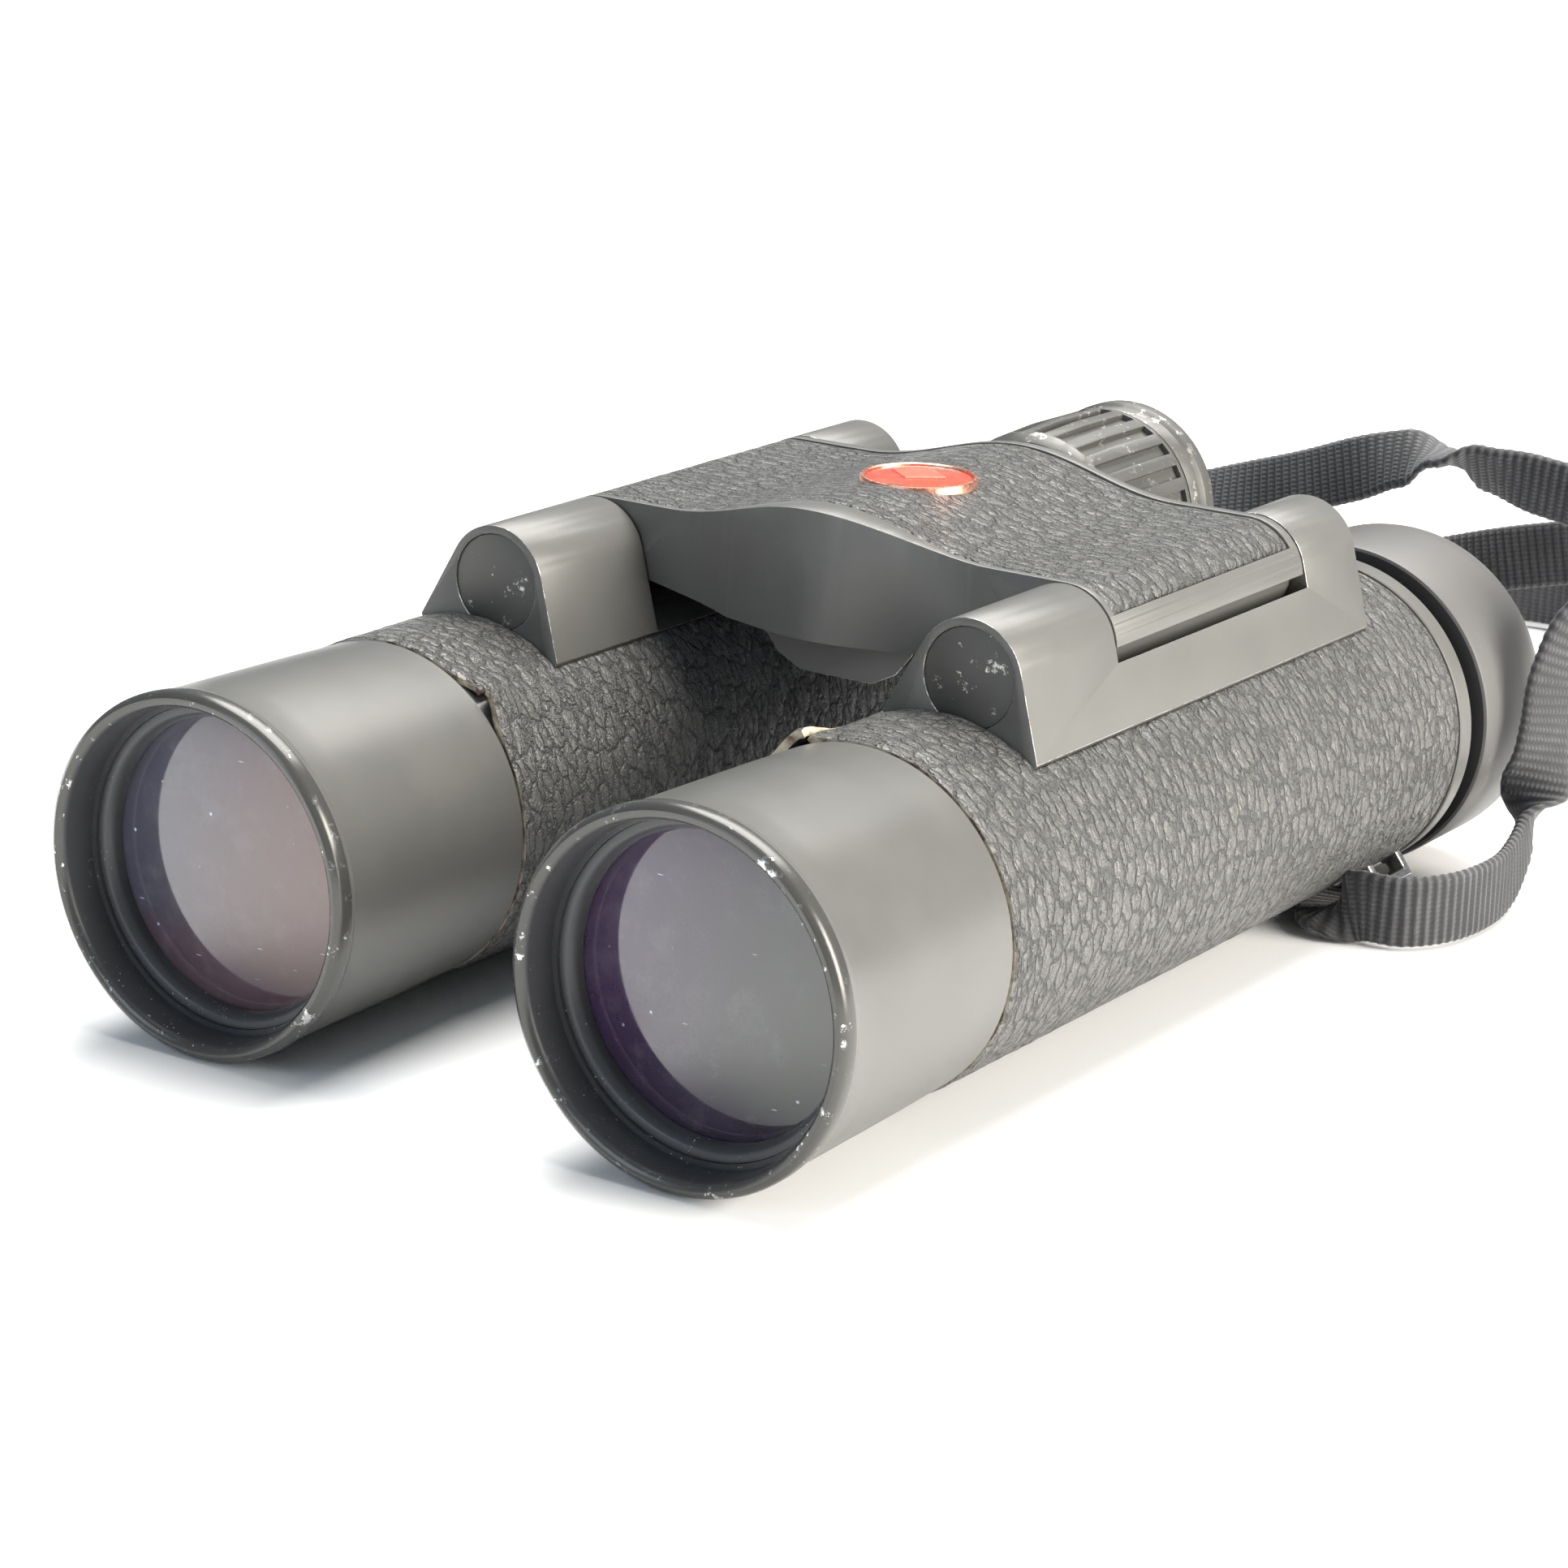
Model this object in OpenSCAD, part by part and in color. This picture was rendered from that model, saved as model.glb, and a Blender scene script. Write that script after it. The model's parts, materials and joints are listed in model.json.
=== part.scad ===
// Pocket binoculars with two hinged barrels, a bridge with a focus wheel and a webbing neck strap.
// The frame: +Y points from the front lenses to the eyepieces, +X to the user's left barrel, +Z up.
// The origin is on the table, midway between the barrels and midway along their length.
// Places along a barrel are stations: the distance behind the front lips.

/* [Barrels] */
// Distance between the two barrel axes
barrel_spacing = 44; // [40:0.5:56]
// Diameter of the front lens
lens_d = 25; // [20:0.5:30]
// Wall of the bead around each front lens
lip_wall = 1.75; // [1.5:0.05:2.5]
// Visible length of the bare metal tube in front
tube_len = 22.95; // [17:0.05:28]
// Length of the leather covered part of a barrel
cover_len = 71.75; // [68:0.25:90]
// Length of the smooth ring behind the leather
ring_len = 2.3; // [1.5:0.1:4]
// Width of the dark groove in front of each eyecup
groove_len = 1.9; // [1.2:0.1:3]
// Length of an eyecup
eyecup_len = 12.3; // [10:0.1:16]
// Thickness of the leather on the barrels
leather_t = 0.7; // [0.4:0.05:1]
// Wall of the metal barrel
shell_wall = 0.7; // [0.6:0.05:1.2]
// How far an eyecup pulls out
eyecup_travel = 6; // [2:0.5:7]

/* [Hinges] */
// Height of a hinge axis above the bare metal barrel
hinge_lift = 3.75; // [3.6:0.05:5]
// Lean of both hinge brackets towards the left barrel, in degrees
lean = 7.9; // [0:0.1:12]
// Radius of the hinge knuckles
knuckle_r = 4.6; // [4.4:0.1:5.4]
// Front end of the hinge brackets
bracket_front = 33.6; // [30:0.1:36]
// Length of the front knuckle
front_knuckle = 13.5; // [13:0.1:16]
// Length of the bridge between the knuckles
bridge_len = 29.8; // [28:0.1:38]
// Length of the rear knuckle
rear_knuckle = 8.8; // [8:0.1:14]
// Radius of the hinge pins
pin_r = 2.4; // [2.2:0.05:2.8]

/* [Bridge] */
// How far the top of the bridge swells above the hinges
hump = 2.7; // [1:0.1:4]
// How far the front wall of the bridge bulges forwards
bulge = 2.6; // [0:0.1:4]
// Thickness of the leather and of the plate under it
deck_leather = 0.6; // [0.4:0.05:1]
// Thickness of the top plate
plate_t = 0.8; // [0.6:0.05:1.2]
// Diameter of the badge on the bridge
badge_d = 9.6; // [6:0.2:12]
// Depth of the bottom cover below the front wall
keel_depth = 3.9; // [2:0.1:4.5]

/* [Focus] */
// Radius of the focus wheel over its ribs
wheel_r = 8.6; // [7:0.1:9]
// Length of the focus wheel
wheel_len = 17.4; // [14:0.1:20]
// Number of slots around the focus wheel
wheel_slots = 24; // [12:1:32]
// Travel of the focusing lenses to each side
focus_travel = 1.75; // [1:0.05:1.75]

/* [Strap] */
// Width of the webbing
strap_w = 6; // [5:0.5:8]
// Thickness of the webbing
strap_t = 1.1; // [0.8:0.1:1.5]

/* [Hidden] */
$fn = 64;

// Clearances
run_fit = 0.05;
gap = 0.3;
hinge_gap = 0.4;
seat_gap = 0.02;
e = 0.01;

// Radii of the barrel
lens_r = lens_d / 2;
lip_r = lens_r + lip_wall;
lip_bore = lens_r + 0.45;
seat_r = lens_r + seat_gap;
aperture = lens_r - 0.9;
spigot_r = aperture + 0.65;
shell_bore = spigot_r + run_fit;
shell_r = shell_bore + shell_wall;
barrel_r = shell_r + leather_t;
foot_r = barrel_r + 0.2;
tube_rear_r = barrel_r - 0.2;

// Stations along the barrel
recess_rear = 3.3;
ring_face = 3.6;
seat_rear = 10.4;
ring_front = tube_len + cover_len;
ring_rear = ring_front + ring_len;
cup_front = ring_rear + groove_len;
total_len = cup_front + eyecup_len;
cover_front = tube_len + 0.2;

// Stations along the hinges
arm_front = bracket_front + front_knuckle + gap;
arm_rear = arm_front + bridge_len;
bracket_rear = arm_rear + gap + rear_knuckle;
plug_t = 0.8;
plug_r = knuckle_r - 0.65;

// Heights of the hinges and of the wheel, and the lateral place of the bridge
link = shell_r + hinge_lift;
hinge_z = lip_r + link * cos(lean);
bridge_x = link * sin(lean);
half_span = barrel_spacing / 2;
wheel_z = hinge_z - 0.55;
deck_r = knuckle_r - deck_leather;
under_r = hinge_lift - 0.35;

// The barrel's place when folded fully inwards, seen from the middle of the bridge
fold_in = 16;
fold_x = half_span - link * sin(fold_in);
fold_z = hinge_z - link * cos(fold_in);

// Focus parts
rod_r = 1.25;
collar_r = 2.2;
ring_t = 3;
ring_front_s = arm_front + 14.6;
slot_front = ring_front_s - 4;
slot_rear = ring_front_s + ring_t + 4.2;
eye_r = 2.6;
channel_r = eye_r + 0.35;
arm_t = 2;
focus_arm_s = bracket_front + 3.4;
chamber_rear = focus_arm_s + arm_t + focus_travel + 0.3;
cell_r = shell_bore - 0.4;
shaft_r = 2;
bush_r = 3.4;
bush_len = 6;
wheel_front = arm_rear + 0.7;
wheel_rear = wheel_front + wheel_len;

// Eyepiece parts
eye_tube_r = shell_r - 1.5;
eye_tube_rear = ring_rear + 9;
eye_bore = eye_tube_r - 1.9;
cup_r = lip_r - 0.05;
cup_hole = eye_tube_r - 1.5;

// Strap lug: a bar along the barrel, on the outer lower side
lug_angle = 135;
strap_end = 0.6;
lug_half = strap_w * strap_end / 2 + 0.3;
lug_leg = 0.9;
lug_open = strap_t + 0.3;
lug_bar = 0.8;
lug_w = 1.8;
lug_s = ring_front - lug_half - lug_leg - 0.1;

// ---------- placing helpers ----------
module at(s) { translate([0, s - total_len / 2, 0]) children(); }
module rod(r, s0, s1) { at(s0) rotate([-90, 0, 0]) cylinder(r = r, h = s1 - s0); }
module ring(r_out, r_in, s0, s1) {
    difference() {
        rod(r_out, s0, s1);
        rod(r_in, s0 - 1, s1 + 1);
    }
}
module turned(profile) { at(0) rotate([-90, 0, 0]) rotate_extrude() polygon(profile); }
module prism_y(points, s0, s1) { at(s1) rotate([90, 0, 0]) linear_extrude(s1 - s0) polygon(points); }
module box_y(x0, x1, s0, s1, z0, z1) {
    at(s0) translate([x0, 0, z0]) cube([x1 - x0, s1 - s0, z1 - z0]);
}
// Barrel frame: the barrel's axis at the origin, the hinge straight up, the outer side at +X
module on_barrel(side) {
    translate([side * half_span, 0, lip_r]) rotate([0, lean, 0]) mirror([side < 0 ? 1 : 0, 0, 0]) children();
}
module on_bridge() { translate([bridge_x, 0, 0]) children(); }
module at_hinge(side) { translate([side * half_span, 0, hinge_z]) children(); }

function arc(cx, cz, r, a0, a1, n) = [for (i = [0:n]) let (a = a0 + (a1 - a0) * i / n) [cx + r * sin(a), cz + r * cos(a)]];
function swell(x, w) = abs(x) < w ? (1 + cos(180 * x / w)) / 2 : 0;
function dome(r_edge, edge, sag, n) = [
    for (i = [0:n]) let (r = r_edge * i / n) [r, edge + sag * (1 - (r / r_edge) * (r / r_edge))]
];

// ---------- barrel parts ----------
module objective_tube() {
    turned([
        [lip_bore, 0.6], [lip_bore + 0.4, 0], [lip_r - 0.6, 0], [lip_r - 0.15, 0.2], [lip_r, 0.7], [lip_r, 1.6],
        [lip_r - 0.2, 2.1], [tube_rear_r, tube_len], [spigot_r, tube_len], [spigot_r, tube_len + 7],
        [aperture, tube_len + 7], [aperture, seat_rear], [seat_r, seat_rear], [seat_r, recess_rear],
        [lip_bore, recess_rear]
    ]);
}
module retaining_ring() {
    difference() {
        turned([
            [lens_r, ring_face], [lens_r, 5.1], [lens_r - 0.9, 5.1], [lens_r - 0.9, 4.3], [lens_r - 0.6, ring_face]
        ]);
        for (a = [20, 200]) rotate([0, a, 0]) box_y(lens_r - 2, lens_r + e, 2, 3.9, -0.6, 0.6);
    }
}
module objective_front_lens() {
    turned(concat(dome(lens_r, 5.3, -1.1, 8), [[lens_r, 7.6], [0, 8.4]]));
}
module objective_rear_lens() {
    turned([[0, 8.45], [lens_r, 7.65], [lens_r, seat_rear], [0, 9.8]]);
}
module focus_slot(z0, z1) {
    box_y(-1.5, 1.5, focus_arm_s - focus_travel - 0.35, chamber_rear, z0, z1);
}
module barrel_shell() {
    difference() {
        ring(shell_r, shell_bore, cover_front, ring_front);
        focus_slot(0, link);
    }
}
foot_a = 29.7;
module foot_wedge(margin) {
    reach = link + 10;
    half = foot_a + margin / barrel_r * 57.3;
    prism_y([[0, 0], [-reach * sin(half), reach * cos(half)], [reach * sin(half), reach * cos(half)]],
        bracket_front - margin, bracket_rear + margin);
}
module leather() {
    difference() {
        ring(barrel_r, shell_r + seat_gap, cover_front, ring_front);
        foot_wedge(0.15);
        rotate([0, lug_angle, 0]) for (s = lug_stations)
            box_y(-lug_w / 2 - 0.1, lug_w / 2 + 0.1, s - 0.1, s + lug_leg + 0.1, 0, link);
    }
}
// The tangent from the edge of the foot to the knuckle
foot_x = foot_r * sin(foot_a);
foot_z = foot_r * cos(foot_a);
foot_d = norm([foot_x, link - foot_z]);
tangent_a = 90 - acos(knuckle_r / foot_d) + atan2(link - foot_z, foot_x);
module hinge_bracket() {
    tx = knuckle_r * sin(tangent_a);
    tz = link + knuckle_r * cos(tangent_a);
    inner = shell_r - 0.6;
    difference() {
        union() {
            prism_y([
                [foot_x, foot_z], [tx, tz], [-tx, tz], [-foot_x, foot_z],
                [-inner * sin(foot_a), inner * cos(foot_a)], [inner * sin(foot_a), inner * cos(foot_a)]
            ], bracket_front, bracket_rear);
            translate([0, 0, link]) rod(knuckle_r, bracket_front, bracket_rear);
        }
        rod(shell_r + seat_gap, bracket_front - 1, bracket_rear + 1);
        // channel for the bridge arm
        translate([0, 0, link]) rod(knuckle_r + hinge_gap, arm_front - gap, arm_rear + gap);
        difference() {
            box_y(-foot_x - 2, 0, arm_front - gap, arm_rear + gap, shell_r * 0.6, link);
            rod(barrel_r + 0.05, arm_front - 2, arm_rear + 2);
        }
        // bores for the pins, the plugs and the focus arm
        translate([0, 0, link]) {
            rod(pin_r + run_fit, bracket_front + plug_t, bracket_rear - plug_t);
            rod(plug_r, bracket_front - 1, bracket_front + plug_t);
            rod(plug_r, bracket_rear - plug_t, bracket_rear + 1);
            rod(channel_r, bracket_front + plug_t - e, chamber_rear);
        }
        focus_slot(0, link);
    }
}
module hinge_plugs() {
    difference() {
        translate([0, 0, link]) {
            rod(plug_r - seat_gap, bracket_front + 0.1, bracket_front + plug_t);
            rod(plug_r - seat_gap, bracket_rear - plug_t, bracket_rear - 0.1);
        }
        rod(shell_r + seat_gap, bracket_front - 1, bracket_rear + 1);
    }
}
holder_front = arm_front - 0.4;
holder_rear = bracket_rear - 5;
prism_half = shell_bore * 0.6;
module prism_holder() {
    difference() {
        rod(shell_bore - seat_gap, holder_front, holder_rear);
        box_y(-prism_half, prism_half, holder_front + 3, holder_rear - 3, -shell_bore - 1, shell_bore + 1);
        rod(prism_half - 0.6, holder_front - 1, holder_rear + 1);
    }
}
module prisms() {
    f = holder_front + 3.1;
    r = holder_rear - 3.1;
    h = shell_bore * 0.62;
    slope = h * 1.15;
    side = prism_half - 0.1;
    for (outline = [
        [[f, -h], [f, h], [f + 4, h], [f + 4 + slope, -h]],
        [[f + 4.4, h], [f + 4.4 + slope, -h], [r, -h], [r, h - 3], [r - 3, h]]
    ])
        translate([side, -total_len / 2, 0]) rotate([0, -90, 0]) linear_extrude(2 * side)
            polygon([for (p = outline) [p[1], p[0]]]);
}
module eyepiece_tube() {
    turned([
        [shell_bore - seat_gap, ring_front - 11], [shell_bore - seat_gap, ring_front], [eye_tube_r, ring_front],
        [eye_tube_r, eye_tube_rear], [eye_bore, eye_tube_rear], [eye_bore, ring_front - 11]
    ]);
}
module rear_ring() {
    turned([
        [eye_tube_r, ring_front], [barrel_r + 0.1, ring_front], [barrel_r + 0.1, ring_rear - 0.3],
        [barrel_r - 0.2, ring_rear], [eye_tube_r, ring_rear]
    ]);
}
module eye_lenses() {
    turned(concat(dome(eye_bore, ring_front - 8.5, -1, 6), [[eye_bore, ring_front - 6.5], [0, ring_front - 6.5]]));
    turned(concat(dome(eye_bore, eye_tube_rear - 3.6, 1.2, 6),
        [[eye_bore, eye_tube_rear - 6], [0, eye_tube_rear - 6]]));
}
module eyecup() {
    turned([
        [eye_tube_r + 0.06, cup_front], [cup_r - 0.3, cup_front], [cup_r, cup_front + 0.3],
        [cup_r, total_len - 2], [cup_r - 0.3, total_len - 1], [cup_r - 1, total_len - 0.3],
        [cup_r - 1.9, total_len], [cup_hole + 0.9, total_len], [cup_hole, total_len - 0.9],
        [cup_hole, eye_tube_rear + 1], [eye_tube_r + 0.06, eye_tube_rear + 1]
    ]);
}
lug_stations = [lug_s - lug_half - lug_leg, lug_s + lug_half];
module strap_lug() {
    rotate([0, lug_angle, 0]) {
        for (s = lug_stations)
            box_y(-lug_w / 2, lug_w / 2, s, s + lug_leg, shell_r + seat_gap,
                barrel_r + lug_open + lug_bar);
        box_y(-lug_w / 2, lug_w / 2, lug_stations[0], lug_stations[1] + lug_leg, barrel_r + lug_open,
            barrel_r + lug_open + lug_bar);
    }
}
module focus_rod() {
    difference() {
        union() {
            translate([0, 0, link]) {
                rod(rod_r, focus_arm_s - 0.2, ring_front_s + ring_t + 2);
                rod(collar_r, ring_front_s - 2, ring_front_s - 0.15);
                rod(collar_r, ring_front_s + ring_t + 0.15, ring_front_s + ring_t + 2);
                rod(rod_r + 0.8, focus_arm_s, focus_arm_s + arm_t);
            }
            box_y(-1.1, 1.1, focus_arm_s, focus_arm_s + arm_t, cell_r - 1, link);
            ring(cell_r, cell_r - 1.2, focus_arm_s - 2.2, focus_arm_s + 4.2);
        }
        rod(cell_r - 1.2, focus_arm_s - 4, focus_arm_s + 6);
    }
}
module focus_lens() {
    s = focus_arm_s - 1.2;
    turned(concat([[0, s + 0.8], [cell_r - 1.2, s]], [[cell_r - 1.2, s + 4], [0, s + 2.8]]));
}

// ---------- bridge parts ----------
hump_w = half_span - knuckle_r - 2.4;
bulge_w = half_span - knuckle_r - 4.2;
wall_z = hinge_z - 3.2;
function deck_top(x) = hinge_z + knuckle_r + hump * swell(x, hump_w);
// The bridge's cross-section, drawn inset by a depth; it goes from knuckle to knuckle and back under
function deck_section(inset, sweep) = concat(
    [[-half_span, hinge_z], [-half_span - (knuckle_r - inset) * sin(sweep), hinge_z + (knuckle_r - inset) * cos(sweep)]],
    arc(-half_span, hinge_z, knuckle_r - inset, -sweep, 0, 8),
    [for (i = [0:28]) let (x = -hump_w + 2 * hump_w * i / 28) [x, deck_top(x) - inset]],
    arc(half_span, hinge_z, knuckle_r - inset, 0, sweep, 8),
    [[half_span, hinge_z]]
);
function front_edge() = concat(
    [[-half_span - 9, 0], [-half_span - 9, -2 * bridge_len], [half_span + 9, -2 * bridge_len], [half_span + 9, 0]],
    [for (i = [0:20]) let (x = bulge_w - 2 * bulge_w * i / 20) [x, bulge * swell(x, bulge_w)]]
);
module behind_front_wall() {
    at(arm_front) mirror([0, 1, 0]) linear_extrude(hinge_z + 20) polygon(front_edge());
}
module scallops(extra) {
    for (side = [-1, 1]) {
        translate([side * fold_x, 0, fold_z]) rod(shell_r + 0.35, arm_front - 9, arm_rear + 9);
        difference() {
            translate([side * fold_x, 0, fold_z]) rod(barrel_r + extra, arm_front - 9, arm_rear + 9);
            at_hinge(side) rod(knuckle_r + 0.05, arm_front - 10, arm_rear + 10);
        }
    }
}
module yoke_channel() {
    // the space for the focus yoke: a well in the middle and a passage to each hinge
    box_y(-6.4, 6.4, slot_front - 1, slot_rear, wall_z - 10, hinge_z + knuckle_r);
    box_y(-half_span, half_span, slot_front, slot_rear, hinge_z - 1.45, hinge_z + knuckle_r - 1);
    for (side = [-1, 1]) at_hinge(side) rod(channel_r, slot_front, slot_rear);
}
core_inset = deck_leather + plate_t;
module bridge_frame() {
    leather_front = arm_front + 0.7;
    leather_rear = arm_rear - 1;
    difference() {
        intersection() {
            union() {
                // the block under the top plate, and the full section at both ends
                prism_y(concat(deck_section(deck_leather, 86), [[half_span - 5, hinge_z - 1.6], [9, wall_z],
                    [-9, wall_z], [-half_span + 5, hinge_z - 1.6]]), arm_front - 9, arm_rear);
                prism_y(deck_section(0, 86), arm_front - 9, leather_front);
                prism_y(deck_section(0, 86), leather_rear, arm_rear);
                for (side = [-1, 1]) at_hinge(side) {
                    rod(under_r, arm_front, arm_rear);
                    bare_band(side);
                }
            }
            behind_front_wall();
        }
        scallops(0.4);
        top_plate_shape(0);
        yoke_channel();
        for (side = [-1, 1]) at_hinge(side) rod(pin_r, arm_front - 9, arm_rear + 9);
        translate([0, 0, wheel_z]) {
            rod(shaft_r + 0.15, slot_front, arm_rear);
            rod(bush_r, arm_rear - bush_len, arm_rear + 9);
        }
        place_screws() cylinder(r = screw_r, h = screw_grip);
        translate([0, 0, deck_top(0) - 1.2]) at(badge_s) cylinder(r = badge_d / 2 + 0.1, h = 9);
    }
}
// The bare metal band on the outside of a knuckle, below the leather
module bare_band(side) {
    a0 = 56;
    a1 = 86;
    n = 6;
    prism_y(concat(
        [for (i = [0:n]) let (a = a0 + (a1 - a0) * i / n) [side * knuckle_r * sin(a), knuckle_r * cos(a)]],
        [for (i = [0:n]) let (a = a1 + (a0 - a1) * i / n) [side * (deck_r - 0.4) * sin(a), (deck_r - 0.4) * cos(a)]]
    ), arm_front, arm_rear);
}
plate_half = half_span - 2;
module top_plate_shape(play) {
    intersection() {
        difference() {
            prism_y(deck_section(deck_leather - e, 86), arm_front + 3 + play, arm_rear - 2.2 - play);
            prism_y(deck_section(core_inset, 86), arm_front, arm_rear);
        }
        box_y(-plate_half + play, plate_half - play, arm_front, arm_rear, hinge_z + 1, hinge_z + 20);
    }
}
badge_s = arm_front + 13.3;
badge_z = deck_top(0) - 1.1;
module bridge_top_plate() {
    difference() {
        intersection() {
            top_plate_shape(0.03);
            prism_y(deck_section(deck_leather, 86), arm_front, arm_rear);
        }
        translate([0, 0, badge_z]) at(badge_s) cylinder(r = badge_d / 2 + 0.02, h = 9);
    }
}
module bridge_leather() {
    difference() {
        prism_y(deck_section(0, 55), arm_front + 0.75, arm_rear - 1.05);
        prism_y(deck_section(deck_leather, 86), arm_front - 1, arm_rear + 1);
        for (side = [-1, 1]) at_hinge(side) rod(deck_r, arm_front - 1, arm_rear + 1);
        translate([0, 0, badge_z - 3]) at(badge_s) cylinder(r = badge_d / 2 + 0.05, h = 9);
    }
}
module badge_rim() {
    translate([0, 0, badge_z]) at(badge_s) difference() {
        cylinder(r = badge_d / 2, h = 1.15);
        translate([0, 0, 0.35]) cylinder(r = badge_d / 2 - 0.55, h = 2);
    }
}
module badge_enamel() {
    translate([0, 0, badge_z + 0.35]) at(badge_s) difference() {
        cylinder(r = badge_d / 2 - 0.58, h = 0.72);
        diamond(badge_d * 0.24 + 0.02, 0.35, 2);
    }
}
module badge_diamond() {
    translate([0, 0, badge_z + 0.35]) at(badge_s) diamond(badge_d * 0.24, 0.36, 0.86);
}
module diamond(r, z0, z1) {
    translate([0, 0, z0]) linear_extrude(z1 - z0) polygon([[-r * 1.3, 0], [0, -r], [r * 1.3, 0], [0, r]]);
}
keel_front = arm_front + 2;
keel_rear = arm_rear - 1.2;
screw_r = 0.8;
screw_grip = 3;
cover_screws = [[0, keel_front + 3.6], [-5.3, keel_rear - 2.6], [5.3, keel_rear - 2.6]];
module place_screws() { for (p = cover_screws) at(p[1]) translate([p[0], 0, wall_z]) children(); }
module bridge_bottom_cover() {
    top = 7.4;
    low = 3.4;
    z1 = wall_z - 0.02;
    difference() {
        prism_y([
            [-top, z1], [top, z1], [top - 0.3, z1 - 1], [low + 2.2, z1 - keel_depth + 1.1],
            [low, z1 - keel_depth], [-low, z1 - keel_depth], [-low - 2.2, z1 - keel_depth + 1.1], [-top + 0.3, z1 - 1]
        ], keel_front, keel_rear);
        box_y(-6, 6, slot_front - 1, slot_rear, z1 - 1.1, z1 + 1);
        translate([0, 0, wheel_z]) rod(bush_r + seat_gap, arm_rear - bush_len - 0.1, arm_rear + 9);
        scallops(0.4);
        place_screws() {
            translate([0, 0, -keel_depth - 1]) cylinder(r = screw_r + 0.1, h = keel_depth + 9);
            translate([0, 0, -keel_depth - 1]) cylinder(r = 1.7, h = keel_depth - 0.3);
        }
    }
}
module bottom_cover_screws() {
    place_screws() difference() {
        union() {
            translate([0, 0, -2.2]) cylinder(r = 1.6, h = 0.88);
            translate([0, 0, -1.8]) cylinder(r = screw_r - seat_gap, h = screw_grip + 1.7);
        }
        translate([-2, -0.2, -3]) cube([4, 0.4, 1.3]);
    }
}
module front_hinge_pins() {
    for (side = [-1, 1]) at_hinge(side) ring(pin_r, rod_r + run_fit, chamber_rear + 0.2, slot_front);
}
module rear_hinge_pins() {
    for (side = [-1, 1]) at_hinge(side) rod(pin_r, slot_rear, bracket_rear - plug_t - 0.4);
}
module hinge_washers() {
    for (side = [-1, 1]) at_hinge(side)
        for (s = [arm_front - 0.2, arm_rear]) ring(knuckle_r - 1.2, pin_r + 0.01, s, s + 0.2);
}
module focus_bush() {
    translate([0, 0, wheel_z]) ring(bush_r - seat_gap, shaft_r + run_fit, arm_rear - bush_len, arm_rear + 0.2);
}
module focus_shaft() {
    translate([0, 0, wheel_z]) {
        rod(shaft_r, slot_front, wheel_rear - 3.5);
        rod(4.4, arm_rear + 0.4, wheel_front + 1.1);
    }
}
module focus_wheel() {
    slot_w = PI * wheel_r / wheel_slots;
    waist = wheel_front + wheel_len * 0.76;
    translate([0, 0, wheel_z]) difference() {
        turned([
            [shaft_r, wheel_front + 1.1], [shaft_r, wheel_front + 4], [5.5, wheel_front + 4.6],
            [5.5, wheel_rear - 1.6], [wheel_r - 0.9, wheel_rear - 1.6], [wheel_r - 0.9, wheel_rear - 0.2],
            [wheel_r - 0.4, wheel_rear], [wheel_r, wheel_rear - 0.4], [wheel_r, wheel_rear - 1.7],
            [wheel_r - 0.3, wheel_rear - 2], [wheel_r - 0.3, waist + 0.5], [wheel_r - 0.9, waist + 0.5],
            [wheel_r - 0.9, waist], [wheel_r - 0.1, waist], [wheel_r, wheel_front + 6],
            [wheel_r - 0.2, wheel_front + 1.2], [wheel_r - 0.9, wheel_front + 0.2], [6.4, wheel_front],
            [4.45, wheel_front], [4.45, wheel_front + 1.1]
        ]);
        for (i = [0:wheel_slots - 1]) rotate([0, i * 360 / wheel_slots, 0])
            box_y(-slot_w / 2, slot_w / 2, wheel_front + 1.4, waist - 0.5, wheel_r - 0.6, wheel_r + 1);
    }
}
module focus_wheel_cap() {
    translate([0, 0, wheel_z]) difference() {
        rod(wheel_r - 0.92, wheel_rear - 1.6, wheel_rear - 0.5);
        rod(1.9, wheel_rear - 1.1, wheel_rear + 1);
        rod(1.05, wheel_rear - 3, wheel_rear + 1);
    }
}
module focus_wheel_screw() {
    translate([0, 0, wheel_z]) difference() {
        union() {
            rod(1.8, wheel_rear - 1.1, wheel_rear - 0.4);
            rod(1, wheel_rear - 3.5, wheel_rear - 1);
        }
        box_y(-2, 2, wheel_rear - 0.7, wheel_rear, -0.2, 0.2);
    }
}
module focus_yoke() {
    s = ring_front_s;
    difference() {
        union() {
            box_y(-5.4, 5.4, s - 1.5, s + ring_t + 1.5, wheel_z - 3, hinge_z + 2);
            box_y(-half_span, half_span, s, s + ring_t, hinge_z - 1.1, hinge_z + 1.1);
            for (side = [-1, 1]) at_hinge(side) rod(eye_r, s, s + ring_t);
        }
        for (side = [-1, 1]) at_hinge(side) rod(rod_r + run_fit, s - 1, s + ring_t + 1);
        translate([0, 0, wheel_z]) rod(shaft_r + run_fit, s - 9, s + ring_t + 9);
    }
}

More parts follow.
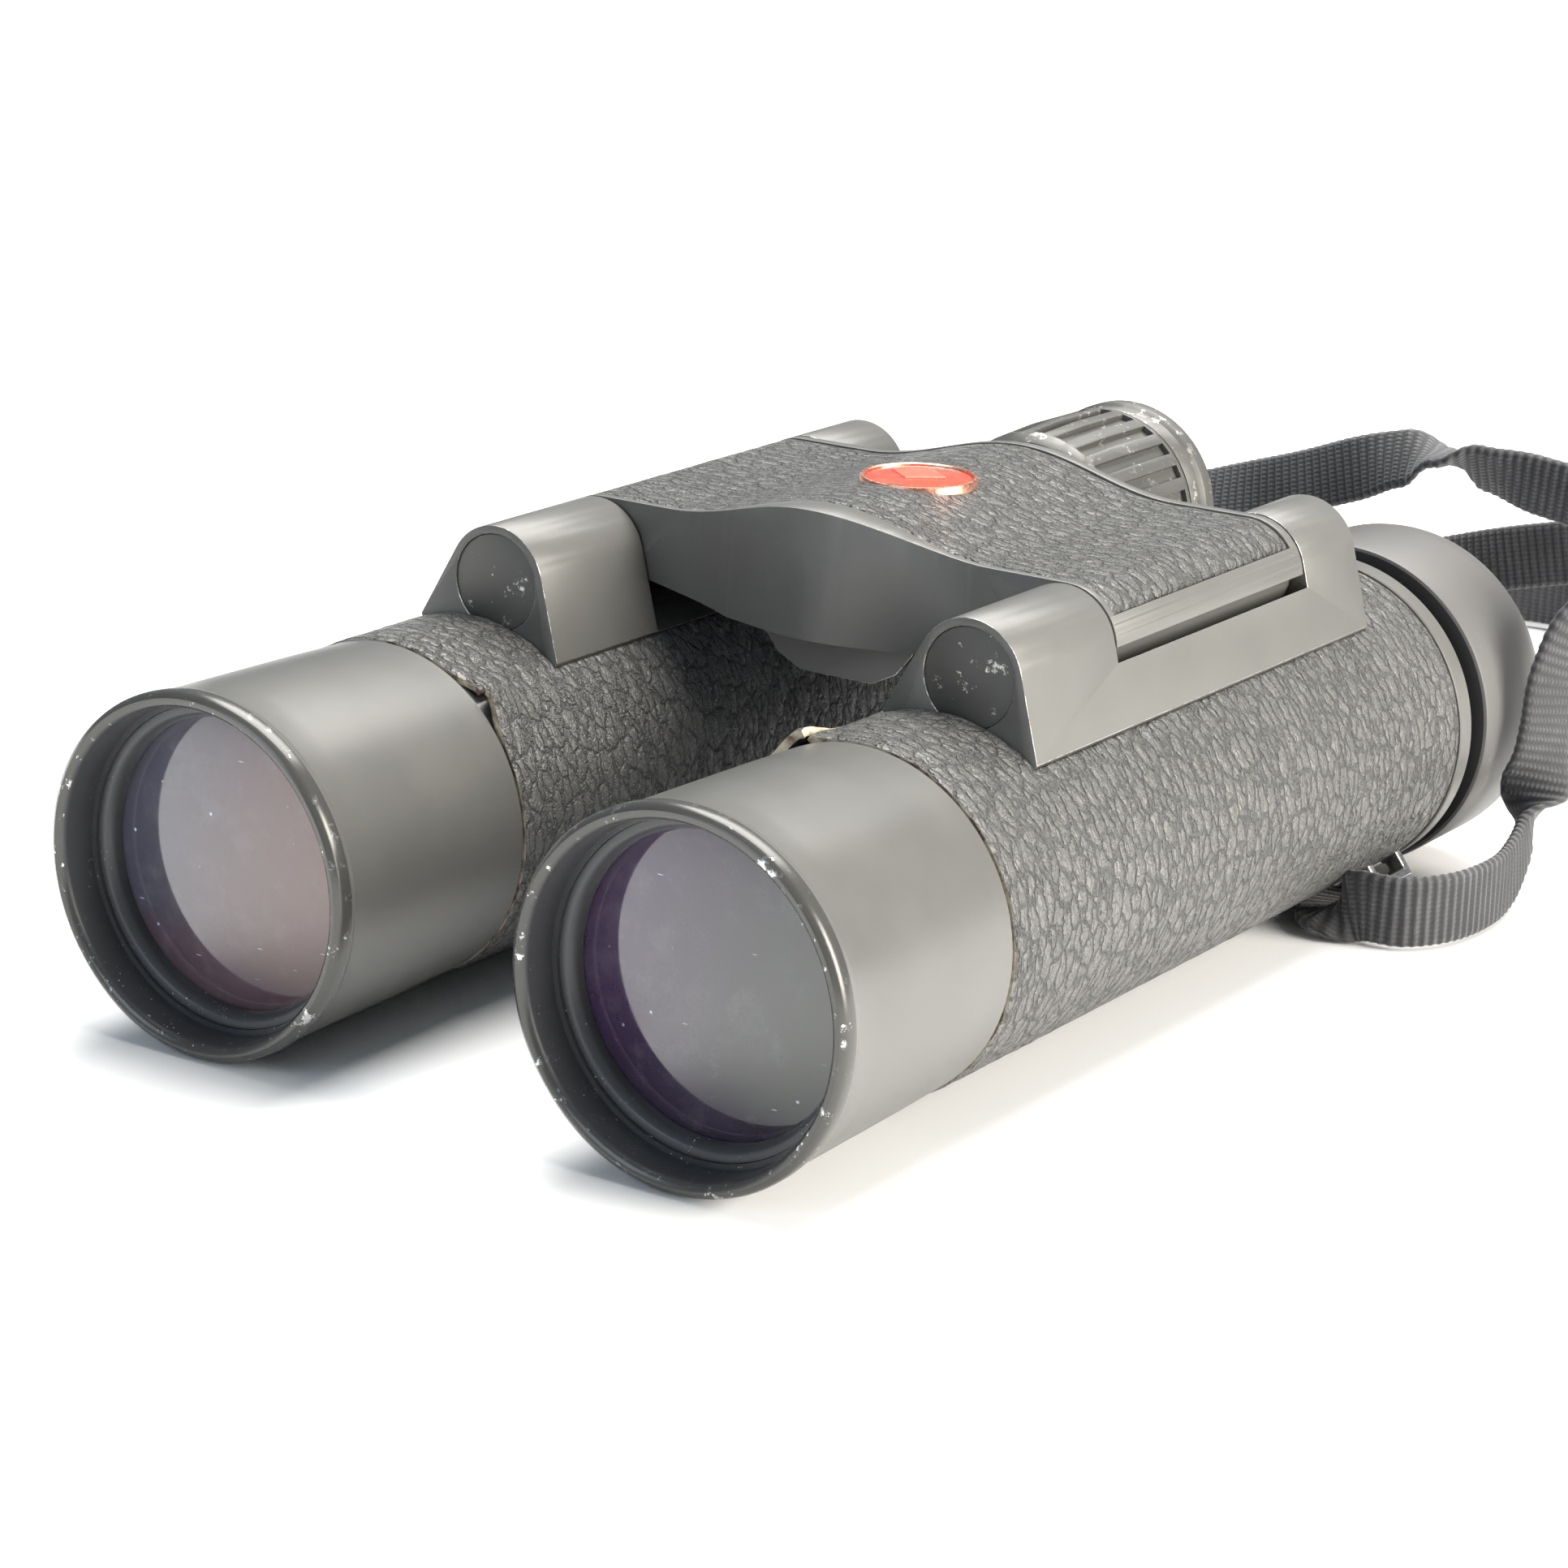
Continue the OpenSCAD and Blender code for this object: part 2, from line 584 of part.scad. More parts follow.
// ---------- strap ----------
// Each route point is a place as [x, station, z], the direction of the webbing's width there, and where
// it is gathered, the share of its full width
near_route = [
    [[30.69, 91.5, 2.76], [0, -1, 0], strap_end], [[29.55, 91.3, 1.85], [0, -1, 0], strap_end],
    [[28.5, 90.3, 1], [0.55, -0.8, 0.1], strap_end], [[28.3, 88.2, 0.66], [1, -0.3, 0], strap_end],
    [[28.6, 86, 0.62], [1, 0, 0], 0.7], [[29.5, 83.9, 0.8], [1, 0.2, 0.12], 0.85],
    [[31.2, 82, 1.75], [0.8, 0.3, 0.5]], [[34.1, 81, 3.05], [0.15, 0, 1]],
    [[37.8, 81.6, 3.1], [0, 0, 1]], [[40.3, 85.2, 3.1], [0, 0, 1]], [[41.1, 90.6, 3.1], [0, 0, 1]],
    [[40.6, 95.6, 3.4], [0, 0, 1]], [[39.8, 100, 5.2], [0, 0.1, 1]], [[39.2, 103, 9.2], [0.2, 0.5, 0.8]],
    [[39, 104.4, 14], [0.3, 0.9, 0.2]], [[39.4, 105.2, 19], [0.4, 0.9, 0]], [[41, 107, 23.6], [0.5, 0.9, 0]],
    [[45, 111, 26.6], [0.7, 0.7, 0]], [[50, 118, 26], [0.8, 0.5, 0]], [[53, 127, 21], [1, 0.2, 0]],
    [[53.4, 136, 13], [1, 0, 0]], [[51, 144, 6.4], [0.9, 0.3, 0.5]], [[46.6, 150.5, 3.5], [0.2, 0.1, 1]],
    [[42.6, 157.5, 3.1], [0, 0, 1]]
];
far_route = [
    [[-33.49, 91.5, 5.57], [0, -1, 0], strap_end], [[-34.75, 91.6, 7.2], [0, -1, 0.1], strap_end],
    [[-36.1, 92.6, 8.7], [-0.4, -0.6, 0.5], strap_end], [[-37.5, 94.8, 9.3], [-0.2, -0.1, 1], 0.75],
    [[-38.6, 99, 9], [0, 0, 1]], [[-38.8, 105, 8.7], [0, 0, 1]], [[-38.9, 111, 8.7], [0, 0, 1]],
    [[-38.4, 116, 9.2], [0, 0, 1]], [[-35.8, 120.2, 10.6], [0.1, 0.2, 1]],
    [[-29.5, 122.6, 13.8], [0, 0.5, 0.9]], [[-19, 123.6, 19], [0, 0.9, 0.4]],
    [[-8, 123.6, 23.2], [0, 0.6, 0.8]], [[3, 123, 26.6], [0, 0.35, 0.94]], [[10, 122.6, 29.2], [0, 0.3, 0.95]],
    [[15, 122.6, 31], [0, 0.6, 0.8]], [[19, 122.8, 31.6], [0, 1, 0]], [[23, 123, 31.2], [0, 0.6, -0.8]],
    [[28.5, 123.2, 30.4], [0, 0.25, -0.95]], [[35.5, 124, 29.2], [0, 0.1, -1]], [[42.6, 126.2, 27.6], [0, 0.1, -1]],
    [[47.6, 131.6, 25], [0, 0, -1]], [[44, 137, 22.6], [0, 0, -1]], [[34, 138.4, 20.6], [0, -0.1, -1]],
    [[22, 138.2, 18.2], [0, -0.1, -1]], [[10, 139.6, 15.4], [0, -0.4, -0.9]],
    [[-2, 142.4, 12], [-0.2, -0.6, -0.8]], [[-12.5, 146, 9.4], [-0.5, -0.8, -0.4]],
    [[-21.5, 150.8, 7.7], [-0.6, -0.9, -0.1]], [[-27.6, 157, 7], [-0.9, -0.5, 0]], [[-30, 165, 6.9], [-1, -0.1, 0]]
];
function unit(v) = v / norm(v);
function tangent(route, i) = unit(route[min(i + 1, len(route) - 1)][0] - route[max(i - 1, 0)][0]);
module webbing(route) {
    b = strap_t / 2;
    points = [
        for (i = [0:len(route) - 1])
            let (t = tangent(route, i), d = route[i][1], w = unit(d - t * (d * t)), n = cross(t, w))
            let (a = strap_w / 2 * (is_undef(route[i][2]) ? 1 : route[i][2]))
            for (q = [
                [a, -b / 2], [a, b / 2], [a - b, b], [b - a, b], [-a, b / 2], [-a, -b / 2], [b - a, -b], [a - b, -b]
            ])
                route[i][0] + w * q[0] + n * q[1]
    ];
    last = len(points) - 8;
    at(0) polyhedron(points, concat(
        [[for (k = [7:-1:0]) k]],
        [for (i = [0:len(route) - 2]) for (k = [0:7])
            let (p = 8 * i + k, q = 8 * i + (k + 1) % 8) each [[p, q, q + 8], [p, q + 8, p + 8]]],
        [[for (k = [0:7]) last + k]]
    ), convexity = 10);
}
coil_x = 3;
coil_s = 158;
coil_mid = 33;
coil_build = 10;
module strap_near() { color("#3b3c3e") webbing(near_route); }
module strap_far() { color("#3b3c3e") webbing(far_route); }
module strap_coil() {
    color("#3b3c3e") at(coil_s) translate([coil_x, 0, 0]) rotate_extrude()
        translate([coil_mid - coil_build / 2, 0]) square([coil_build, strap_w]);
}

// ---------- nodes ----------
metal = "#5c5d5f";
dark = "#2e2f31";
hide = "#3a3b3c";
glass = "#8f7f96";
steel = "#b9bbbd";
color(metal) on_bridge() bridge_frame();
color(steel) on_bridge() bridge_top_plate();
color(hide) on_bridge() bridge_leather();
color("#c9a24a") on_bridge() badge_rim();
color("#d2402b") on_bridge() badge_enamel();
color("#d9c9b8") on_bridge() badge_diamond();
color(metal) on_bridge() bridge_bottom_cover();
color(dark) on_bridge() bottom_cover_screws();
color(steel) on_bridge() front_hinge_pins();
color(steel) on_bridge() rear_hinge_pins();
color("#b08d57") on_bridge() hinge_washers();
color("#b08d57") on_bridge() focus_bush();
color(steel) on_bridge() focus_shaft();
color(metal) on_bridge() focus_wheel();
color(metal) on_bridge() focus_wheel_cap();
color(dark) on_bridge() focus_wheel_screw();
color("#b08d57") on_bridge() focus_yoke();
for (pair = [["left_", 1], ["right_", -1]]) {
    name = pair[0];
    side = pair[1];
    color(metal) on_barrel(side) objective_tube();
    color(dark) on_barrel(side) retaining_ring();
    color(glass) on_barrel(side) objective_front_lens();
    color(glass) on_barrel(side) objective_rear_lens();
    color(metal) on_barrel(side) barrel_shell();
    color(hide) on_barrel(side) leather();
    color(metal) on_barrel(side) hinge_bracket();
    color(dark) on_barrel(side) hinge_plugs();
    color(dark) on_barrel(side) prism_holder();
    color("#cfe0e6") on_barrel(side) prisms();
    color(dark) on_barrel(side) eyepiece_tube();
    color(metal) on_barrel(side) rear_ring();
    color("#cfe0e6") on_barrel(side) eye_lenses();
    color("#4a4a4b") on_barrel(side) eyecup();
    color(steel) on_barrel(side) strap_lug();
    color("#b08d57") on_barrel(side) focus_rod();
    color(glass) on_barrel(side) focus_lens();
}
strap_near();
strap_far();
strap_coil();
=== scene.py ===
import json
import math

import bmesh
import bpy
from mathutils import Matrix, Vector, noise


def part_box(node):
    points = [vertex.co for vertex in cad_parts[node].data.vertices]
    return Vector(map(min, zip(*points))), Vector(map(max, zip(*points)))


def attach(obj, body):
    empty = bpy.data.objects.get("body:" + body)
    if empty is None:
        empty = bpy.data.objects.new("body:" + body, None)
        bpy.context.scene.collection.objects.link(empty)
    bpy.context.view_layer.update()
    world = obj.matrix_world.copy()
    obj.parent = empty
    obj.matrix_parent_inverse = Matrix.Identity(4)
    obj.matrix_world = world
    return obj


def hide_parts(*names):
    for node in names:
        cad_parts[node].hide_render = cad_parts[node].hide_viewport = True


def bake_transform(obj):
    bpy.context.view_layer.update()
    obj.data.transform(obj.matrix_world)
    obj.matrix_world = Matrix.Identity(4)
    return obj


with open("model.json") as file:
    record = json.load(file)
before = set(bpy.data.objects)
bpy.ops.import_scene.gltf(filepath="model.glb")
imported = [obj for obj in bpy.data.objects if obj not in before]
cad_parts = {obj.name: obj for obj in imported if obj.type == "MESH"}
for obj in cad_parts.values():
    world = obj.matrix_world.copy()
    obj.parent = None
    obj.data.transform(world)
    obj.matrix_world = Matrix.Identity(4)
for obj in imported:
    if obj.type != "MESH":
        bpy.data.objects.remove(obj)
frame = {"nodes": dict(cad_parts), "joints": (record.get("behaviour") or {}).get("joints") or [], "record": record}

bl_info = {
    "name": "Folding Binoculars",
    "version": (1, 0, 0),
    "blender": (4, 5, 0),
    "location": "View3D > Sidebar > Binoculars",
    "description": "Builds a pair of leather covered folding binoculars around its frame",
    "category": "Add Mesh",
}

MM = 0.001
FULL = 2 * math.pi
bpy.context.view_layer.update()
SIDES = {"left": 1, "right": -1}


# ---------- places taken from the frame ----------

def middle(node):
    low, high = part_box(node)
    return (low + high) / 2


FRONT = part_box("left_objective_tube")[0].y
AXIS = {side: middle(f"{side}_objective_tube") for side in SIDES}
HINGE = {j["child"][:-7]: Vector(j["pos_m"]) for j in frame["joints"] if j["name"].endswith("_fold")}
LEAN = {side: math.atan2(HINGE[side].x - AXIS[side].x, HINGE[side].z - AXIS[side].z) for side in SIDES}
BODY_OF = {node: body for body, nodes in frame["record"]["behaviour"]["bodies"].items() for node in nodes}


def station(s):
    """The Y of a place s millimetres behind the front lips."""
    return FRONT + s * MM


def reach(node):
    """The first and last station of a node, in millimetres."""
    low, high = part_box(node)
    return (low.y - FRONT) / MM, (high.y - FRONT) / MM


# ---------- sizes and colours a user may change ----------

def length(name, default, description, low=0.0, high=1.0):
    return bpy.props.FloatProperty(name=name, default=default, description=description, min=low, max=high,
                                   unit="LENGTH", precision=5)


def colour(name, default, description):
    return bpy.props.FloatVectorProperty(name=name, default=default, description=description, subtype="COLOR",
                                         size=3, min=0.0, max=1.0)


class BinocularSizes(bpy.types.PropertyGroup):
    edge: length("Metal edge", 0.00016, "Width of the rounded edges of the metal parts", 0.00002, 0.001)
    strap_width: length("Strap width", 0.006, "Width of the webbing", 0.004, 0.01)
    strap_thick: length("Strap thickness", 0.0011, "Thickness of the webbing", 0.0006, 0.002)
    rib_pitch: length("Rib pitch", 0.00085, "Distance between two ribs of the webbing", 0.0005, 0.002)
    coil_turns: bpy.props.FloatProperty(name="Coil turns", default=3.27, min=1, max=6,
                                        description="Turns of the strap that is put away behind the barrels")
    grain: length("Grain relief", 0.00006, "Height of the soft folds in the leather", 0.0, 0.0003)
    round_steps: bpy.props.IntProperty(name="Steps around", default=128, min=32, max=256,
                                       description="Facets around a barrel")


class BinocularColours(bpy.types.PropertyGroup):
    anodised: colour("Anodised metal", (0.122, 0.12, 0.113), "Satin black anodised metal")
    worn: colour("Worn edge", (0.62, 0.60, 0.56), "Metal where the black has worn off")
    # The leather colour is the top of the grain, lightened as painted sheen; the next colour is painted shade for
    # the grooves of the grain.
    leather: colour("Leather", (0.098, 0.096, 0.091), "Top of the leather grain")
    crease_shade: colour("Leather crease", (0.035, 0.034, 0.034), "Bottom of the leather grain")
    raw_edge: colour("Cut leather edge", (0.62, 0.55, 0.40), "Undyed leather where it is cut")
    cup: colour("Eyecups", (0.105, 0.102, 0.1), "Satin eyecups")
    webbing: colour("Webbing", (0.042, 0.042, 0.046), "Woven strap")
    enamel: colour("Badge", (0.72, 0.075, 0.035), "Enamel of the badge")


# ---------- materials ----------

class Wire:
    """One output socket of a shader node, with arithmetic that adds Math nodes."""

    def __init__(self, finish, socket):
        self.finish = finish
        self.socket = socket

    def _maths(self, operation, first, second):
        return self.finish.node("ShaderNodeMath", {"operation": operation}, {0: first, 1: second})

    def __add__(self, other): return self._maths("ADD", self, other)
    def __radd__(self, other): return self._maths("ADD", other, self)
    def __sub__(self, other): return self._maths("SUBTRACT", self, other)
    def __rsub__(self, other): return self._maths("SUBTRACT", other, self)
    def __mul__(self, other): return self._maths("MULTIPLY", self, other)


class Finish:
    """A material while it is being made."""

    def __init__(self, name):
        self.material = bpy.data.materials.new(name)
        self.material.use_nodes = True
        self.tree = self.material.node_tree
        self.tree.nodes.clear()

    def node(self, kind, settings=None, inputs=None, output=0):
        made = self.tree.nodes.new(kind)
        for key, value in (settings or {}).items():
            setattr(made, key, value)
        for key, value in (inputs or {}).items():
            socket = made.inputs[key]
            if isinstance(value, Wire):
                self.tree.links.new(value.socket, socket)
            elif socket.type == "RGBA" and len(value) == 3:
                socket.default_value = (*value, 1)
            else:
                socket.default_value = value
        return Wire(self, made.outputs[output])

    def place(self, scale=(1, 1, 1), turn=(0, 0, 0), uv=None):
        """Coordinates in millimetres, from the object itself or from its UV map."""
        if uv:
            start = self.node("ShaderNodeUVMap", {"uv_map": uv})
            factor = scale
        else:
            start = self.node("ShaderNodeTexCoord", None, None, "Object")
            factor = [1000 * s for s in scale]
        return self.node("ShaderNodeMapping", None, {"Vector": start, "Rotation": turn, "Scale": factor})

    def cloud(self, where, scale, detail=2.0, rough=0.5):
        return self.node("ShaderNodeTexNoise", None, {
            "Vector": where, "Scale": scale, "Detail": detail, "Roughness": rough})

    def cells(self, where, scale, feature="F1"):
        return self.node("ShaderNodeTexVoronoi", {"feature": feature}, {"Vector": where, "Scale": scale}, "Distance")

    def band(self, value, low, high, start=0.0, end=1.0):
        """Rises from start to end while the value goes from low to high."""
        return self.node("ShaderNodeMapRange", {"clamp": True, "interpolation_type": "SMOOTHSTEP"}, {
            "Value": value, "From Min": low, "From Max": high, "To Min": start, "To Max": end})

    def mix(self, amount, first, second):
        made = self.tree.nodes.new("ShaderNodeMix")
        made.data_type = "RGBA"
        for socket, value in ((made.inputs[0], amount), (made.inputs[6], first), (made.inputs[7], second)):
            if isinstance(value, Wire):
                self.tree.links.new(value.socket, socket)
            elif socket.type == "RGBA":
                socket.default_value = (*value, 1)
            else:
                socket.default_value = value
        return Wire(self, made.outputs[2])

    def split(self, vector):
        parts = self.node("ShaderNodeSeparateXYZ", None, {"Vector": vector})
        return [Wire(self, parts.socket.node.outputs[i]) for i in range(3)]

    def surface(self, base, roughness, height=None, depth=0.0, **others):
        """Closes the material with a Principled shader; height is in units of depth, in metres."""
        inputs = {"Base Color": base, "Roughness": roughness}
        inputs.update({
            key.replace("_", " ").title().replace("Ior", "IOR"): value for key, value in others.items()})
        if height is not None:
            inputs["Normal"] = self.node("ShaderNodeBump", None, {
                "Strength": 1.0, "Distance": depth, "Height": height})
        shader = self.node("ShaderNodeBsdfPrincipled", None, inputs)
        self.node_out = self.tree.nodes.new("ShaderNodeOutputMaterial")
        self.tree.links.new(shader.socket, self.node_out.inputs["Surface"])
        return self.material


def anodised(name, base, roughness=0.4, worn=None, amount=0.0, metallic=0.2, dust=0.0):
    f = Finish(name)
    here = f.place()
    blotch = f.cloud(here, 0.12, 3, 0.6)
    blast = f.cloud(here, 14, 2, 0.6)
    rub = f.cloud(f.place((0.5, 2.2, 3.0), (0.3, 0.5, 0.2)), 0.9, 4, 0.65)
    shade = f.mix(f.band(blotch, 0.3, 0.75), [c * 0.96 for c in base], [c * 1.04 for c in base])
    shade = f.mix(f.band(rub, 0.64, 0.82) * 0.2, shade, [min(1, c * 1.5) for c in base])
    metal = metallic
    rough = f.band(blotch, 0.3, 0.75, roughness - 0.015, roughness + 0.02) + (rub - 0.5) * 0.05
    if worn is not None:
        bare = f.band(f.cloud(here, 0.8, 5, 0.7), 0.62 - 0.24 * amount, 0.68 - 0.2 * amount)
        shade = f.mix(bare, shade, worn)
        metal = metallic + bare * (1 - metallic)
        rough = rough - bare * 0.1
    if dust:
        speck = f.cells(here, 1.9)
        patches = f.band(f.cloud(here, 0.35, 2), 0.66 - dust * 0.2, 0.7 - dust * 0.16)
        grit = f.band(speck, 0.16, 0.06) * patches
        fleck = f.cells(here, 5.5)
        grit = f.node("ShaderNodeMath", {"operation": "MAXIMUM"}, {
            0: grit, 1: f.band(fleck, 0.2, 0.1) * f.band(f.cloud(here, 0.6, 3), 0.62 - dust * 0.14, 0.7)})
        grit = grit * f.band(f.split(here)[2], 16.0, 6.0, 0.12, 1.0)
        shade = f.mix(grit * 0.85, shade, (0.72, 0.7, 0.62))
        rough = rough + grit * 0.3
        metal = metal * (1 - grit) if isinstance(metal, Wire) else metal - grit * metal
    return f.surface(shade, rough, blast + rub * 0.6, 0.000006, metallic=metal, specular_ior_level=0.4)


def hide(name, top, crease_shade, uv, stretch=(1.0, 1.0)):
    """Pebbled leather: rounded pebbles, painted shade darkening the grooves between them, painted sheen lightening
    their tops, shiny rubbed tops and pores.
    """
    f = Finish(name)
    flat = f.place((1, 1, 1), uv=uv)
    sway = f.node("ShaderNodeVectorMath", {"operation": "SCALE"}, {
        0: f.node("ShaderNodeTexNoise", None, {
            "Vector": flat, "Scale": 0.9, "Detail": 3, "Roughness": 0.6}, "Color"),
        "Scale": 1.15})
    bent = f.node("ShaderNodeVectorMath", {"operation": "ADD"}, {0: flat, 1: sway})
    grainy = f.node("ShaderNodeMapping", None, {"Vector": bent, "Scale": (stretch[0], stretch[1], 1)})
    crack = f.cells(grainy, 1.0, "DISTANCE_TO_EDGE")
    dome = f.cells(grainy, 1.0, "SMOOTH_F1")
    small = f.cells(grainy, 2.3, "DISTANCE_TO_EDGE")
    broad = f.cloud(flat, 0.13, 3, 0.6)
    pore = f.cloud(flat, 9, 3, 0.7)
    groove = f.band(crack, 0.0, 0.14)
    fine = f.band(small, 0.0, 0.16)
    relief = groove * 0.55 + fine * 0.2 + (1 - dome) * 0.8 + pore * 0.08
    # painted shade and sheen: the grooves between the pebbles are darkened and the tops between them lightened
    shade = f.mix(groove * 0.75 + fine * 0.25, crease_shade, top)
    shade = f.mix(f.band(broad, 0.35, 0.7) * 0.15, shade, [min(1, c * 1.4) for c in top])
    shiny = f.band(f.cloud(flat, 0.8, 3, 0.6), 0.5, 0.68) * groove
    rough = 0.36 - shiny * 0.16 + (pore - 0.5) * 0.12 + (1 - groove) * 0.22
    return f.surface(shade, rough, relief, 0.0005, specular_ior_level=0.65)


def fibre_edge(name, base):
    f = Finish(name)
    here = f.place()
    fuzz = f.cloud(here, 6, 4, 0.7)
    stain = f.cloud(here, 0.7, 3, 0.6)
    shade = f.mix(f.band(stain, 0.42, 0.68), base, (0.16, 0.10, 0.075))
    shade = f.mix(f.band(fuzz, 0.5, 0.75) * 0.5, shade, [min(1, c * 1.25) for c in base])
    return f.surface(shade, f.band(fuzz, 0.3, 0.7, 0.75, 0.95), fuzz, 0.00008)


def woven(name, base, uv):
    """Ribbed webbing: the ribs are in the mesh, the threads in each rib are here."""
    f = Finish(name)
    flat = f.place((1, 1, 1), uv=uv)
    across, along, _ = f.split(flat)
    thread = f.node("ShaderNodeMath", {"operation": "SINE"}, {0: across * (FULL / 0.42)}) * 0.5 + 0.5
    rib = f.node("ShaderNodeMath", {"operation": "COSINE"}, {0: along * (FULL / 0.85)}) * -0.5 + 0.5
    fuzz = f.cloud(flat, 5.5, 4, 0.7)
    wear = f.cloud(flat, 0.22, 3, 0.6)
    tint = f.mix(f.band(wear, 0.35, 0.7), base, [min(1, c * 1.9) for c in base])
    # painted shade: the colour darkens in the valleys between the ribs and between the threads, so the rib tops read
    # lighter
    tint = f.mix(rib * 0.55 + thread * 0.25, [c * 0.35 for c in base], tint)
    tint = f.mix(f.band(fuzz, 0.6, 0.8) * 0.4, tint, (0.2, 0.195, 0.19))
    rough = f.band(fuzz, 0.3, 0.7, 0.62, 0.85)
    return f.surface(tint, rough, rib * 0.6 + thread * rib * 0.5 + fuzz * 0.4, 0.0001,
                     sheen_weight=0.25, sheen_roughness=0.5)


def coated_lens(name, centre, radius, low_x, high_x, shadow, spots=True):
    """Coated glass over a black barrel: the coating's colour as a painted reflection that fades from one tint to the
    other across the lens, a painted shadow along its lower edge, dust and fine scratches.
    """
    f = Finish(name)
    here = f.node("ShaderNodeTexCoord", None, None, "Object")
    local = f.node("ShaderNodeMapping", None, {
        "Vector": here, "Location": [-c / radius for c in centre], "Scale": (1 / radius,) * 3})
    x, _, z = f.split(local)
    # painted reflection: the coating's colour fades from one tint to the other across the lens
    fade = f.band(x + z * -0.25, -0.85, 0.75)
    tint = f.mix(fade, low_x, high_x)
    # painted shadow along the lower edge of the lens
    tint = f.mix(f.band(z + x * 0.2, -0.5, -0.78) * 0.85, tint, shadow)
    mm = f.place()
    rough = f.band(f.cloud(mm, 0.25, 3, 0.6), 0.35, 0.75, 0.04, 0.1)
    haze = f.band(f.cloud(mm, 0.3, 4, 0.65), 0.45, 0.8) * 0.06
    tint = f.mix(haze, tint, (0.5, 0.52, 0.55))
    if spots:
        dust = f.band(f.cells(mm, 0.42), 0.075, 0.03)
        lint = f.band(f.cells(f.place((0.35, 1, 2.6), (0, 0.6, 0)), 0.5), 0.07, 0.03)
        marks = f.node("ShaderNodeMath", {"operation": "MAXIMUM"}, {0: dust, 1: lint})
        marks = marks * f.band(f.cloud(mm, 0.21, 2), 0.46, 0.56)
        tint = f.mix(marks * 0.8, tint, (0.6, 0.68, 0.78))
        rough = rough + marks * 0.4
    return f.surface(tint, rough, specular_ior_level=0.75, coat_weight=0.6, coat_roughness=0.03)


def clear_glass(name):
    f = Finish(name)
    mm = f.place()
    smear = f.cloud(mm, 0.2, 3, 0.6)
    return f.surface(f.mix(smear, (0.80, 0.90, 0.93), (0.9, 0.95, 0.93)), f.band(smear, 0.3, 0.8, 0.02, 0.08),
                     transmission_weight=0.9, ior=1.52)


def turned_metal(name, base, roughness, step=(6, 0.6, 6)):
    """Machined metal with fine tool marks."""
    f = Finish(name)
    marks = f.cloud(f.place(step), 1.4, 4, 0.6)
    soil = f.cloud(f.place(), 0.5, 4, 0.6)
    shade = f.mix(f.band(soil, 0.4, 0.75) * 0.6, base, [c * 0.55 for c in base])
    rough = f.band(marks, 0.3, 0.7, roughness - 0.08, roughness + 0.1) + soil * 0.06
    return f.surface(shade, rough, marks, 0.000008,
                     metallic=0.95)


def enamelled(name, base):
    f = Finish(name)
    mm = f.place()
    cloudy = f.cloud(mm, 0.5, 3, 0.6)
    scratch = f.band(f.cloud(f.place((0.5, 7, 5), (0, 0, 0.6)), 1.2, 3, 0.6), 0.64, 0.72)
    shade = f.mix(f.band(cloudy, 0.4, 0.7) * 0.5, base, [min(1, c * 1.35 + 0.02) for c in base])
    shade = f.mix(scratch * 0.25, shade, (0.9, 0.6, 0.5))
    return f.surface(shade, f.band(cloudy, 0.3, 0.7, 0.16, 0.26) + scratch * 0.2, cloudy, 0.00001,
                     coat_weight=0.5, coat_roughness=0.08)


def paper_floor(name):
    f = Finish(name)
    soft = f.cloud(f.node("ShaderNodeTexCoord", None, None, "Object"), 3, 3, 0.5)
    shade = f.mix(f.band(soft, 0.3, 0.7), (0.88, 0.88, 0.885), (0.9, 0.9, 0.9))
    return f.surface(shade, f.band(soft, 0.3, 0.7, 0.75, 0.85))


FINISHES = {}


def finish(name):
    """A finish by name, made the first time it is asked for."""
    if name in FINISHES:
        return FINISHES[name]
    c = bpy.context.scene.binocular_colours
    metal = tuple(c.anodised)
    makers = {
        "anodised": lambda: anodised(name, metal, 0.4),
        "anodised_edge": lambda: anodised(name, [v * 1.25 for v in metal], 0.36, tuple(c.worn), 0.75),
        "tube_metal": lambda: anodised(name, [v * 0.95 for v in metal], 0.33),
        "lip_metal": lambda: anodised(name, [v * 0.6 for v in metal], 0.2, (0.5, 0.5, 0.5), 0.1, 0.35, 0.32),
        "recess_black": lambda: anodised(name, (0.06, 0.061, 0.065), 0.36, None, 0, 0.2, 0.55),
        "plug_metal": lambda: anodised(name, [v * 0.8 for v in metal], 0.46, tuple(c.worn), 0.1, 0.5),
        "wheel_metal": lambda: anodised(name, [v * 0.98 for v in metal], 0.42, tuple(c.worn), 0.08, 0.5),
        "cup_satin": lambda: anodised(name, tuple(c.cup), 0.48, None, 0, 0.15, 0.06),
        "inner_black": lambda: anodised(name, (0.014, 0.014, 0.016), 0.6, None, 0, 0.1, 0.1),
        "alloy": lambda: turned_metal(name, (0.5, 0.5, 0.51), 0.42),
        "steel": lambda: turned_metal(name, (0.62, 0.62, 0.63), 0.3),
        "brass": lambda: turned_metal(name, (0.66, 0.5, 0.26), 0.32),
        "gilt": lambda: turned_metal(name, (0.7, 0.34, 0.24), 0.28, (2, 2, 2)),
        "leather": lambda: hide(name, tuple(c.leather), tuple(c.crease_shade), "wrap", (0.42, 0.9)),
        "cut_leather": lambda: fibre_edge(name, tuple(c.raw_edge)),
        "webbing": lambda: woven(name, tuple(c.webbing), "strap"),
        "enamel": lambda: enamelled(name, tuple(c.enamel)),
        "enamel_pale": lambda: enamelled(name, (0.74, 0.15, 0.09)),
        "clear_glass": lambda: clear_glass(name),
        "floor": lambda: paper_floor(name),
    }
    FINISHES[name] = makers[name]()
    return FINISHES[name]


# ---------- making pieces ----------

def sizes():
    return bpy.context.scene.binocular_sizes


